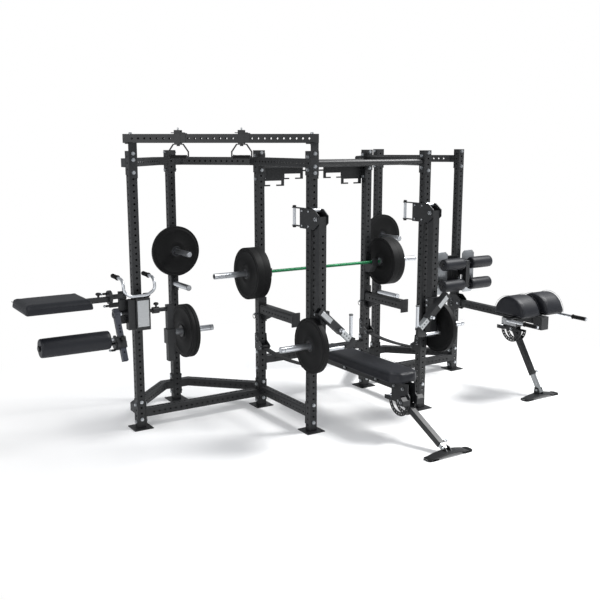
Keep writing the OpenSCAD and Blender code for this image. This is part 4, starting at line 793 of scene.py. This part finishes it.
# %% [markdown]
# A seam is drawn as a thin welt: a polyline with a round section, laid along the
# edge where the top panel meets the side panel.

# %% Welts
def welt(name, points, body, thick=1.6, material=vinyl, closed=True,
         facets=2, stands_for=()):
    """A round cord or bar along a line of points in millimetres."""
    line = bpy.data.curves.new(name, "CURVE")
    line.dimensions, line.use_fill_caps = "3D", not closed
    line.bevel_depth, line.bevel_resolution = thick / 1000, facets
    spline = line.splines.new("POLY")
    spline.points.add(len(points) - 1)
    for point, co in zip(spline.points, points):
        point.co = (co[0] / 1000, co[1] / 1000, co[2] / 1000, 1)
    spline.use_cyclic_u = closed
    drawn_line = bpy.data.objects.new(name + "_line", line)
    scene.collection.objects.link(drawn_line)
    data = baked(drawn_line)
    bpy.data.objects.remove(drawn_line)
    mesh = bmesh.new()
    mesh.from_mesh(data)
    bmesh.ops.scale(mesh, vec=(1000, 1000, 1000), verts=mesh.verts)
    bpy.data.meshes.remove(data)
    keep(name, mesh, material, body, 60, stands_for)


# %% Round the corners of a line
def rounded(outline, radius=14.0, parts=5):
    """The corners of an outline replaced by short arcs."""
    out = []
    for i, here in enumerate(outline):
        before = Vector(outline[i - 1]) - Vector(here)
        after = Vector(outline[(i + 1) % len(outline)]) - Vector(here)
        a = Vector(here) + before.normalized() * radius
        b = Vector(here) + after.normalized() * radius
        for k in range(parts + 1):
            t = k / parts
            out.append(a * (1 - t) ** 2 + Vector(here) * 2 * t * (1 - t)
                       + b * t ** 2)
    return out


for name, by, z, thick in (("bench_pad_welt", 2.6, high.z - 5.5, 1.6),
                           ("bench_pad_base_welt", 1.6, low.z + 6, 1.2)):
    welt(name, [(u, v, z) for u, v in rounded(shrunk(bench_outline, by))],
         "frame", thick)

# %% [markdown]
# ### Leg machine pad and back machine pads
#
# The leg pad is a board with its top edges chamfered. The two thigh pads are half
# drums: a curved face over a flat board, so they sit flat and round over.

# %% Sew the leg pad and the thigh pads
CHAMFER = 23.0
low, high = corners("leg_pad")
near, back, top = low.y + IN, high.y - IN, high.z - IN
leg_section = [(near, low.z + 0.3), (near, top - CHAMFER),
               (near + CHAMFER, top), (back - CHAMFER, top),
               (back, top - CHAMFER), (back, low.z + 0.3)]
leg_board = low.z + 13
mesh = prism(bmesh.new(), leg_section, low.x + IN, high.x - IN, "x", 8, 3)
stuffed("leg_pad_cover", mesh, "pad_arm", "leg_pad", lambda p: p.z < leg_board)
leg_edge = rounded([(low.x + 2, low.y + 2), (low.x + 2, high.y - 2),
                    (high.x - 2, high.y - 2), (high.x - 2, low.y + 2)], 16)
welt("leg_pad_welt", [(u, v, top - CHAMFER + 1.5) for u, v in leg_edge],
     "pad_arm", 1.5)

low, high = corners("ghd_pads")
DRUM_R, DRUM_WIDE = high.z - low.z - IN, 226.0
drum_y = (low.y + high.y) / 2
drum_board = low.z + 12


def arc(radius, z, parts):
    """A half circle over the board, as (y, z) points."""
    return [(drum_y + radius * cos(pi * k / parts),
             z + radius * sin(pi * k / parts)) for k in range(parts + 1)]


for side, x0 in (("left", low.x + IN), ("right", high.x - IN - DRUM_WIDE)):
    x1 = x0 + DRUM_WIDE
    mesh = prism(bmesh.new(), arc(DRUM_R, low.z + 0.3, 20), x0, x1, "x", 9, 3)
    stuffed("thigh_pad_" + side, mesh, "back_carriage", "ghd_pads",
            lambda p: p.z < drum_board, 7.0, 6.0)
    for end, x in (("inner", x1 - 5), ("outer", x0 + 5)):
        welt("thigh_seam_%s_%s" % (side, end),
             [(x, y, z) for y, z in arc(DRUM_R + 1.4, low.z + 1, 40)],
             "back_carriage", 1.2, closed=False)

# %% [markdown]
# ### Foam rollers
#
# A roller is a foam sleeve over a steel tube, with a vinyl cover gathered over
# its ends. The ends pull in towards the axle, and the cover is a little tighter
# at each seam, so the outline is crowned by a few millimetres.

# %% Turn the rollers
def roller_outline(radius, length, bore):
    """Crowned sleeve with rounded shoulders and dished ends."""
    shape = [(bore, 5.0), (bore + 7, 2.5), (radius * 0.55, 1.2),
             (radius - 15, 0.8), (radius - 6.5, 2.6), (radius - 2.6, 7.5),
             (radius - 2.0, 10.5), (radius - 3.0, 12.0), (radius - 1.4, 15.0),
             (radius - 0.4, 40.0), (radius, length / 2)]
    return shape + [(r, length - a) for r, a in reversed(shape[:-1])]


def roller(name, body, place, radius, length, bore, stands_for=()):
    """One padded roller that lies along x."""
    made = spun(name, roller_outline(radius, length, bore), place, vinyl, body,
                60, stands_for, axis="x", steps=96, closed=True)


low, high = corners("leg_foam_roller")
LEG_ROLLER = pivot("leg_roller_spin")
roller("leg_foam_roller_cover", "foam_roller", (low.x, *LEG_ROLLER.yz), 75.0,
       high.x - low.x, 12.9, ["leg_foam_roller"])
ANKLE_LONG = 270.0
for level, axle in ANKLE.items():
    left, right = (c.x for c in corners("ankle_rollers_" + level))
    for side, x in (("left", left), ("right", right - ANKLE_LONG)):
        roller("ankle_roller_%s_%s" % (level, side), "ankle_" + level,
               (x, *axle.yz), 60.0, ANKLE_LONG, 10.4,
               ["ankle_rollers_" + level] if side == "left" else [])

# %% Roller end caps and axle nuts
rods("leg_roller_cap", [(low.x - 12.7, *LEG_ROLLER.yz, "x", 11.5, 24.0)],
     plastic, "slider", 3.0)
rods("leg_roller_axle", [(high.x + 0.8, *LEG_ROLLER.yz, "x", 39.5, 12.7)],
     chrome, "slider", 0.4)
AXLE_REACH = 325.0                # of the ankle axles, to both sides
rods("ankle_axles", [(WING_X - AXLE_REACH, *axle.yz, "x", 2 * AXLE_REACH, 10.2)
                     for axle in ANKLE.values()], chrome, "frame", 2.0)
rods("ankle_end_caps", [(x, *axle.yz, "x", 9, 17) for axle in ANKLE.values()
                        for x in (WING_X - AXLE_REACH - 9, WING_X + AXLE_REACH)],
     plastic, "frame", 3.0)

# %% [markdown]
# ## Safety straps
#
# Each strap is doubled polyester webbing, 60 mm wide and 8 mm thick with its
# seam. It hangs in a long flat arc between two bolts and wraps round each. The
# strip is made from its side outline and pushed out sideways by its width.

# %% Hang the straps
STRAP_Z, STRAP_Y, SAG, LOOP_R, THICK = 562.0, 342.0, 22.0, 8.3, 7.6
SPAN_R = (STRAP_Y ** 2 + SAG ** 2) / (2 * SAG)
STRAP_MID = STRAP_Z - LOOP_R - SAG + SPAN_R


def strap_outline():
    """Closed side outline of the sagging run with its two loops."""
    reach = atan2(STRAP_Y, SPAN_R - SAG)
    low, high = [], []
    for k in range(33):
        a = -reach + 2 * reach * k / 32
        low.append(((SPAN_R + THICK) * sin(a),
                    STRAP_MID - (SPAN_R + THICK) * cos(a)))
        high.append((SPAN_R * sin(a), STRAP_MID - SPAN_R * cos(a)))
    return low + high[::-1]


ring = [(LOOP_R, -30), (LOOP_R + THICK - 1, -30), (LOOP_R + THICK, -29),
        (LOOP_R + THICK, 29), (LOOP_R + THICK - 1, 30), (LOOP_R, 30)]
for side, s in SIDES:
    x = s * POST_X
    mesh = prism(bmesh.new(), strap_outline(), x - 30, x + 30, "x", 1.2, 2)
    for y in (-STRAP_Y, STRAP_Y):
        turned(mesh, ring, (x, y, STRAP_Z), "x", 40, closed=True)
    keep("strap_" + side, mesh, webbing, "frame", sharp=50,
         stands_for=["straps"] if side == "left" else [])

# %% [markdown]
# ## Jammer arms
#
# Each arm hangs from a carriage that rolls up and down its upright. The carriage
# has two chrome rollers in front, a chrome pivot bolt and a bright pull bar at the
# back. The arm carries a diagonal sleeve with a sliding inner tube, which ends in
# two chrome handles.

# %% Round bolt heads
def domed(radius, high):
    """A round bolt head with a domed top and a hexagon socket rim."""
    return [(0, 0), (radius, 0), (radius, high * 0.45),
            (radius * 0.86, high * 0.82), (radius * 0.6, high),
            (radius * 0.42, high), (radius * 0.40, high - 3), (0, high - 3)]


# %% A carriage
LIFT_LOW, LIFT_HIGH = ARM.z - 64, ARM.z + 54        # rows of the cheek bolts
PULL_Y, PULL_Z, PULL_LONG = -160, 1700, 140         # the bright bar at the back


def dress_carriage(x, side):
    """Rollers, bolts and pull bar of the carriage round x."""
    lift = "carriage_" + side
    rods("carriage_rollers_" + side,
         [(x - 38.8, ARM.y + 69.7, ARM.z + up, "x", 77.6, 22.2)
          for up in (60, -55)], chrome, lift, 2.0)
    mesh = bmesh.new()
    for way, turn in ((-1, LEFTWARDS), (1, AXES["x"])):
        face = x + way * 47
        turned(mesh, domed(20, 11), (face, ARM.y, ARM.z), turn=turn)
        for y in (-345, -440):
            for z in (LIFT_LOW, LIFT_HIGH):
                turned(mesh, domed(9, 6.6), (face, y, z), steps=24, turn=turn)
    keep("carriage_bolts_" + side, mesh, chrome, lift)
    rods("carriage_pull_bar_" + side, [(x, PULL_Y, PULL_Z, "z", PULL_LONG, 12.8)],
         chrome, lift, 1.0)
    mesh = bmesh.new()
    for z in (PULL_Z - 20.4, PULL_Z + PULL_LONG + 7.2):
        turned(mesh, rod_outline(15.5, 14, 3), (x, PULL_Y, z), "z", 32)
    keep("carriage_pull_caps_" + side, mesh, plastic, lift)


# %% The sleeve under an arm
SLOPE = radians(41.7)             # of the sleeve, from level
PLUNGER = [(0, 0), (15, 0), (15, 7), (11, 9), (11, 14), (8, 16), (8, 22), (13, 26),
           (14, 32), (12, 37), (0, 38)]


def dress_sleeve(x, s, side):
    """Bare plate, plunger and clamp bolts of the sleeve, which leans inwards."""
    arm, start = "arm_" + side, Vector((x + s * 85, -645, 1069))
    mesh = block(bmesh.new(), (24, -32.4, -20), (144, -30.2, 20), 0.6, 1)
    if s > 0:
        bmesh.ops.scale(mesh, vec=(-1, 1, 1), verts=mesh.verts)
    bmesh.ops.rotate(mesh, cent=(0, 0, 0), verts=mesh.verts,
                     matrix=Matrix.Rotation(-s * SLOPE, 3, "Y"))
    bmesh.ops.translate(mesh, vec=start, verts=mesh.verts)
    keep("arm_bare_plate_" + side, mesh, brushed, arm)
    pin = start + 264 * Vector((-s * cos(SLOPE), 0, -sin(SLOPE)))
    spun("arm_plunger_" + side, PLUNGER, (pin.x, -675, pin.z), chrome, arm,
         steps=32, turn=FORWARDS)
    heads("arm_clamp_bolts_" + side,
          both_faces(x, 43, [(ARM.y + 6, z) for z in (970, 1016)]), arm, 19, 8.3)


# %% The two handles on an inner tube
UPRIGHT_IN, UPRIGHT_Y = 236, -642          # upright handle: inwards, and its y
LEVEL_Y, LEVEL_Z = -657, 745


def dress_handles(s, side):
    """Bracket, two chrome handles and their plastic caps."""
    def inwards(distance):
        return s * (POST_X - distance)

    grip, post = "grip_" + side, inwards(UPRIGHT_IN)
    outline = [(inwards(u), z) for u, z in
               ((199.6, 786), (231.8, 822.5), (258.4, 812.4), (258.4, 737.6),
                (190, 727.6), (159.6, 738), (162.6, 766))]
    mesh = prism(bmesh.new(), outline, -675.4, -659.6, "y", 1.2, 2)
    keep("handle_bracket_" + side, mesh, powder, grip)
    rods("handle_upright_" + side, [(post, UPRIGHT_Y, 811, "z", 183, 14.2)],
         chrome, grip, 1.0)
    bar, near, far = (min(inwards(a), inwards(b))
                      for a, b in ((10, 150), (-1, 11), (149, 172)))
    rods("handle_level_" + side, [(bar, LEVEL_Y, LEVEL_Z, "x", 140, 14.2)],
         chrome, grip, 1.0)
    mesh = bmesh.new()
    for radius, length, chamfer, place, axis in (
            (17.3, 14, 4, (post, UPRIGHT_Y, 993), "z"),
            (18.2, 23, 4, (post, UPRIGHT_Y, 789.5), "z"),
            (17.2, 12, 3, (near, LEVEL_Y, LEVEL_Z), "x"),
            (17.2, 23, 4, (far, LEVEL_Y, LEVEL_Z), "x")):
        turned(mesh, rod_outline(radius, length, chamfer), place, axis, 32)
    keep("handle_caps_" + side, mesh, plastic, grip)


# %% Dress both arms
for side, s in SIDES:
    dress_carriage(s * POST_X, side)
    dress_sleeve(s * POST_X, s, side)
    dress_handles(s, side)
print("arms dressed")

# %% [markdown]
# ## Leg machine
#
# The U handle is one chrome tube, bent at eight places on a mandrel, so its bends
# are smooth: here it is a round bar along a rounded line, with a ringed rubber
# grip on each end. Pull knobs are moulded plastic mushrooms, and the small pull
# pins end in a zinc ball.

# %% Bend the U handle
def grip_outline(radius, length, ribs):
    """A rubber grip with shallow rings and a thicker collar at its start."""
    shape = [(0, 0), (radius + 2.5, 0), (radius + 3.5, 1.5), (radius + 3.5, 5),
             (radius, 8)]
    pitch = (length - 18) / ribs
    for k in range(ribs):
        a = 9 + k * pitch
        shape += [(radius, a), (radius - 0.9, a + pitch * 0.3),
                  (radius - 0.9, a + pitch * 0.6), (radius, a + pitch * 0.9)]
    return shape + [(radius, length - 8), (radius - 2, length - 2),
                    (radius - 6, length), (0, length)]


TROLLEY_X = -WING_X
HANDLE_Y, HANDLE_Z = LEG.y - 40, LEG.z + 139       # the level run of the tube
ENDS = {"left": TROLLEY_X - 150, "right": TROLLEY_X + 115}
RISE = [(240, 144), (40, 140), (0, 102), (0, 42)]  # from a tip down, as (y, z)
tip = Matrix.Rotation(radians(-89.0), 3, "X")
for side, x in ENDS.items():
    spun("leg_handle_grip_" + side, grip_outline(18.4, 122, 14),
         (x, HANDLE_Y + 124, HANDLE_Z + 141.6), rubber, "trolley",
         stands_for=["leg_handle"], steps=36, turn=tip)
bends = ([(ENDS["left"], y, z) for y, z in RISE]
         + [(TROLLEY_X - 94, 0, 0), (TROLLEY_X + 50, 0, 0)]
         + [(ENDS["right"], y, z) for y, z in RISE[::-1]])
bends = [(x, HANDLE_Y + y, HANDLE_Z + z) for x, y, z in bends]
BEND_STEPS = 7
bar = rounded(bends, 27, BEND_STEPS)[BEND_STEPS + 1:-BEND_STEPS - 1]
welt("leg_handle_bar", [bends[0], *bar, bends[-1]], "trolley", 12.5, chrome,
     False, 8, ["leg_handle"])

# %% Knobs, shaft and stop disc
MUSHROOM = [(0, 0), (8, 0), (8, 14), (12, 16), (19, 21), (22, 27), (21.5, 33),
            (17, 38), (9, 40.5), (0, 41)]
for name, place, body in (
        ("leg_hub_knob", (TROLLEY_X + 138, LEG.y, LEG.z + 24), "lever"),
        ("leg_pad_knob", (LEG_PAD.x - 84.3, LEG.y, LEG_PAD.z + 5), "pad_arm")):
    spun(name, MUSHROOM, place, plastic, body, steps=36)
rods("leg_shaft_sleeve", [(TROLLEY_X + 159.5, *LEG.yz, "x", 68.5, 17.2)], powder,
     "lever", 0.3)
rods("leg_shaft", [(TROLLEY_X - 182.4, *LEG.yz, "x", 20, 15.06)], chrome, "lever",
     0.3)
spun("leg_pad_stop_disc", rod_outline(55.4, 12.6, 2.5),
     (LEG_PAD.x + 5.8, *LEG_PAD.yz), powder, "trolley", axis="x", steps=64)

# %% Pull pins with a ball
LEAN = radians(25.5)              # of the lever, from upright
LEVER_X, DOWN_LEVER = TROLLEY_X - 205, 235
slider = Vector((LEVER_X, round(LEG.y - DOWN_LEVER * sin(LEAN), 1),
                 round(LEG.z - DOWN_LEVER * cos(LEAN), 1)))
BALL_R = 11.2


def ball_pin(name, x, y, z, barrel, body):
    """A pull pin that points to the left: dark barrel, bare neck and ball."""
    rods(name + "_barrel", [(x - barrel, y, z, "x", barrel, 9.4)], powder, body)
    ball = [(BALL_R * sin(pi * k / 12), BALL_R * (1 - cos(pi * k / 12)))
            for k in range(11)]
    spun(name + "_ball", ball + [(5.3, 24), (5.3, 38), (0, 38)],
         (x - barrel - 2 * BALL_R, y, z), zinc, body, axis="x", steps=28)


ball_pin("leg_pad_pin", LEG_PAD.x - 6.2, LEG.y + 36, LEG_PAD.z + 24, 31, "pad_arm")
ball_pin("leg_lock_pin", LEG_PAD.x + 8, LEG.y + 18, LEG_PAD.z - 73, 28, "trolley")
ball_pin("leg_slider_pin", LEVER_X - 55, slider.y - 2.8, slider.z - 52.4, 32,
         "slider")

# %% Guide rollers and bolts of the trolley
GUIDE_Y, GUIDE_Z, GUIDE_R = LEG.y + 12, LEG.z + 131, 19
guides = ((TROLLEY_X - 170, TROLLEY_X - 113), (TROLLEY_X + 33, TROLLEY_X + 87))
mesh = block(bmesh.new(), (LEG_PAD.x + 8, LEG.y + 10, LEG_PAD.z - 88),
             (LEG_PAD.x + 86, LEG.y + 26, LEG_PAD.z - 51))
for start, end in guides:
    turned(mesh, rod_outline(GUIDE_R, end - start, 4), (start, GUIDE_Y, GUIDE_Z),
           "x")
keep("leg_trolley_rollers", mesh, plastic, "trolley")
heads("leg_trolley_bolts", [(guides[0][0], GUIDE_Y, GUIDE_Z, "-x"),
                            (guides[1][1], GUIDE_Y, GUIDE_Z, "+x"),
                            (TROLLEY_X - 35, LEG.y - 28, LEG.z - 105, "-y")],
      "trolley", 20, 8)
heads("leg_slider_bolt", [(LEVER_X + 33.2, *slider.yz, "+x")], "slider", 18, 9)

# %% Knob and ball of the slider, screws of the bare plate
KNOB = [(0, 0), (9, 1), (14, 6), (15, 12), (12, 18), (8, 21), (0, 22)]
spun("leg_slider_knob", KNOB, (LEVER_X - 72.2, *slider.yz), plastic, "slider",
     turn=LEFTWARDS)
BALL = [(0, -6), (8, -6), (15.5, -0.5), (20, 6), (22.4, 14), (22.4, 20),
        (20.5, 26), (16, 33), (9.5, 37.5), (0, 39.2)]
mesh = turned(bmesh.new(), BALL, (0, -36, -210), turn=FORWARDS)
bmesh.ops.rotate(mesh, cent=(0, 0, 0), verts=mesh.verts,
                 matrix=Matrix.Rotation(-LEAN, 3, "X"))
bmesh.ops.translate(mesh, vec=(LEVER_X, *LEG.yz), verts=mesh.verts)
keep("leg_slider_ball", mesh, plastic, "slider")
panel_y = corners("leg_panel")[0].y
heads("leg_panel_screws", [(TROLLEY_X + x, panel_y, LEG.z + z, "-y")
                           for x in (-30, 47) for z in (-107, 90)],
      "trolley", 9, 3.0)

# %% [markdown]
# ## Bench and back machine
#
# Both stand on an adjustable leg: a pivot between two slotted ring plates, a black
# outer tube with a spring plunger, a bright inner tube and an arched foot. The
# bolts, plungers, feet and bright spacers are added here.

# %% Plungers
def plunger(name, at, angle, reach, body):
    """A spring plunger on the right face of a leg that turns at a pivot."""
    a = radians(angle)
    y = at.y - reach * cos(a) - 10 * sin(a)
    z = at.z - reach * sin(a) + 10 * cos(a)
    shape = [(0, 0), (11, 0), (11, 6), (9.5, 8), (9.5, 26), (6, 27), (6, 40),
             (10, 43), (12, 49), (11, 55), (0, 57)]
    spun(name, shape, (at.x + 25, y, z), chrome, body, axis="x", steps=32)


plunger("bench_leg_plunger", BENCH, 26.9, 510, "bench_leg")
plunger("back_leg_plunger", BACK, 57.4, 459, "back_leg")

# %% Arched feet
FOOT_W, FOOT_H, FOOT_T = 450.4, 36.2, 10.4
FOOT_R = (FOOT_W ** 2 / 4 + FOOT_H ** 2) / (2 * FOOT_H)      # of the arch
CORNER, STRAIGHT = 30.0, 15.2     # a foot's round corner, and half its end edge
ROUND_FROM = FOOT_W / 2 - CORNER


def strip(mesh, stations):
    """A solid strip along x; each station is (x, y, half width, low, high)."""
    rings = [[mesh.verts.new((x, y + v, z)) for v, z in
              ((-wide, low), (wide, low), (wide, high), (-wide, high))]
             for x, y, wide, low, high in stations]
    for one, two in zip(rings, rings[1:]):
        for k in range(4):
            mesh.faces.new((one[k], one[k - 1], two[k - 1], two[k]))
    mesh.faces.new(rings[0])
    mesh.faces.new(rings[-1])


def arched_foot(name, x, y, body):
    """A plate bent into a low arch, with thick round-cornered rubber ends."""
    def half(u):
        past = max(0.0, abs(u) - ROUND_FROM)
        return STRAIGHT + (CORNER ** 2 - min(past, CORNER) ** 2) ** 0.5

    def bend(radius, u):
        return max(0.3, FOOT_H - FOOT_R + (radius ** 2 - u * u) ** 0.5)

    curve = [ROUND_FROM + CORNER * sin(radians(15 * k)) for k in range(7)]
    arch = [26.0 * k for k in range(8)] + curve[:-1]
    mesh = bmesh.new()
    strip(mesh, [(x + u, y, half(u), bend(FOOT_R - FOOT_T, u) - 0.1,
                  bend(FOOT_R, u)) for u in [-a for a in arch[:0:-1]] + arch])
    keep(name, mesh, powder, body)
    mesh = bmesh.new()
    for _, s in SIDES:
        strip(mesh, [(x + s * u, y, half(u), 0.2, 11.2 if u < 130 or u > 225
                      else 13.3) for u in [129.8, 150, 170, 185] + curve])
    keep(name + "_pads", mesh, rubber, body)


arched_foot("bench_foot_arch", BENCH.x, -1453, "bench_foot")
arched_foot("back_foot_arch", BACK.x, -790, "back_foot")

# %% Lugs of the feet
def lug(name, x, outline, body):
    """Two side plates that hold the inner tube on its foot."""
    mesh = bmesh.new()
    for low in (x - 25.3, x + 18.9):
        prism(mesh, outline, low, low + 6.4, "x", 1.0, 2)
    keep(name, mesh, powder, body)


lug("bench_foot_lugs", BENCH.x, [(-1402, 24), (-1402, 66), (-1440, 62),
                                 (-1470, 32), (-1435, 26)], "bench_foot")
lug("back_foot_lugs", BACK.x, [(-735, 28), (-742, 92), (-790, 92), (-815, 30)],
    "back_foot")
heads("bench_foot_bolts", both_faces(BENCH.x, 25.3, [(-1422, 50)]), "bench_foot",
      17, 8)
heads("back_foot_bolts", both_faces(BACK.x, 25.3, [(-768, 66)]), "back_foot",
      17, 8)

# %% Bolts of the bench, pivots and ring spacers
CHEEK_Z = 405                     # middle of the bench's beam
heads("bench_side_bolts",
      both_faces(BENCH.x, 41, [(y, CHEEK_Z) for y in (-826, -584, -133)]),
      "frame", 21, 10.4)
heads("bench_cheek_bolts", both_faces(BENCH.x, 43, [(-940, CHEEK_Z)]), "frame",
      24, 10.4)
heads("bench_lug_bolts", both_faces(BENCH.x, 110, [(-1001, 318)]), "frame", 21,
      10.4)
LEG_PIVOTS = (("bench", BENCH), ("back", BACK))
for name, at in LEG_PIVOTS:
    rods(name + "_ring_spacer", [(at.x - 27, at.y + 170, at.z - 9, "x", 54, 14.4)],
         chrome, "frame", 1)
for name, at in LEG_PIVOTS:
    heads(name + "_pivot_bolt", both_faces(at.x, 33, [at.yz]), "frame", 24, 12.4)

# %% Bolts, plates and rods of the back machine
heads("back_cheek_bolts",
      both_faces(BACK.x, 43, [(420, 705), (420, 755), (320, 730)]), "frame", 24,
      10.4)
mesh = bmesh.new()
for x in (BACK.x - 52.4, BACK.x + 49.8):
    block(mesh, (x, -496, 632), (x + 2.6, -314, 693), 0.8, 1)
keep("back_bare_plates", mesh, brushed, "frame")
ROD_Z, ROD_OUT = 752, 324
for side, s in SIDES:
    x = BACK.x + s * ROD_OUT
    rods("back_rod_" + side, [(x, -1010.3, ROD_Z, "y", 372, 13.2)], chrome,
         "back_carriage", 2.5)
    spun("back_grip_" + side, grip_outline(19.1, 150, 16), (x, -850, ROD_Z),
         rubber, "back_carriage", steps=36, turn=FORWARDS)

# %% [markdown]
# The foot plates of the back machine are rolled aluminium with raised diamonds
# about 24 mm apart, so that a shoe doesn't slip. A checker turned by 45 degrees
# stands for them as bump.

# %% Foot plates
treads, tree, skin, where = finish("diamond_tread_plate", "#9fa2a5", 1.0, 0.40)
lattice = add(tree, "ShaderNodeMapping", {"Vector": where},
              {"Rotation": (0, radians(45), 0), "Scale": (42.0, 42.0, 42.0)})
studs = add(tree, "ShaderNodeTexChecker", {"Vector": lattice.outputs[0]},
            {"Scale": 1.0})
drive(tree, skin, studs.outputs["Fac"], bump=(0.0008, 0.7))
mesh = bmesh.new()
for x in (WING_X - 339.3, WING_X + 21.7):
    prism(mesh, [(x, 862), (x + 25, 836.7), (x + 136.6, 836.7), (x + 161.6, 862),
                 (x + 161.6, 1242), (x + 133.6, 1270.3), (x + 28, 1270.3),
                 (x, 1242)], 344.6, 353.3, "y", 1.2, 2)
keep("foot_treads", mesh, treads, "frame")
heads("ankle_flange_bolts", [(WING_X, 377, z, "-y") for z in (980, 1130)],
      "frame", 26, 13.4)

# %% [markdown]
# ## Attachments on the uprights
#
# J-cups and spotter arms are lined with plastic, so the bar doesn't ring against
# steel. The spotter arms hang on a pin with a pull ring, and the strap brackets
# are bolted on both sides.

# %% Liners, pins and bracket bolts
BRACKET_BOLTS = [(342, 562), (420, 605), (420, 655), (-342, 562), (-420, 605),
                 (-420, 655)]
for side, s in SIDES:
    x = s * POST_X
    mesh = block(bmesh.new(), (x - 31, 269.8, 1224.5), (x + 31, 377.2, 1234.9),
                 2.0, 2)
    block(mesh, (x - 31, 269.6, 1226), (x + 31, 274.5, 1282), 1.6, 2)
    block(mesh, (x - 31, 373.0, 1226), (x + 31, 377.3, 1318), 1.6, 2)
    keep("j_cup_liner_" + side, mesh, plastic, "frame")
    mesh = block(bmesh.new(), (x - 33.4, -173.4, 937.6), (x + 33.4, 376.8, 948.4),
                 3.0, 3)
    keep("spotter_liner_" + side, mesh, plastic, "frame")
    mesh = bmesh.new()
    for radius, length in ((8.3, 134), (12.5, 10)):
        turned(mesh, rod_outline(radius, length, 2), (x - 64, 420, 855), "x", 32)
    keep("spotter_pin_" + side, mesh, zinc, "frame")
    heads("strap_bracket_bolts_" + side, both_faces(x, 43, BRACKET_BOLTS), "frame",
          24, 8.6)

# %% Pull-up grips
hung = {side: pivot("handle_%s_swivel" % side) for side, _ in SIDES}
along = (hung["right"] - hung["left"]).normalized()      # the raised beam's run
turn = Matrix.Rotation(atan2(along.y, along.x), 3, "Z") @ AXES["x"]
for side, at in hung.items():
    spun("pullup_grip_" + side, grip_outline(14.7, 136, 15),
         at + Vector((0, 0, -25)) - along * 68, rubber, "handle_" + side,
         steps=36, turn=turn)
    spun("pullup_clamp_pin_" + side, rod_outline(6.5, 20.4),
         at + Vector((0, 0, 181)), zinc, "frame", steps=28)
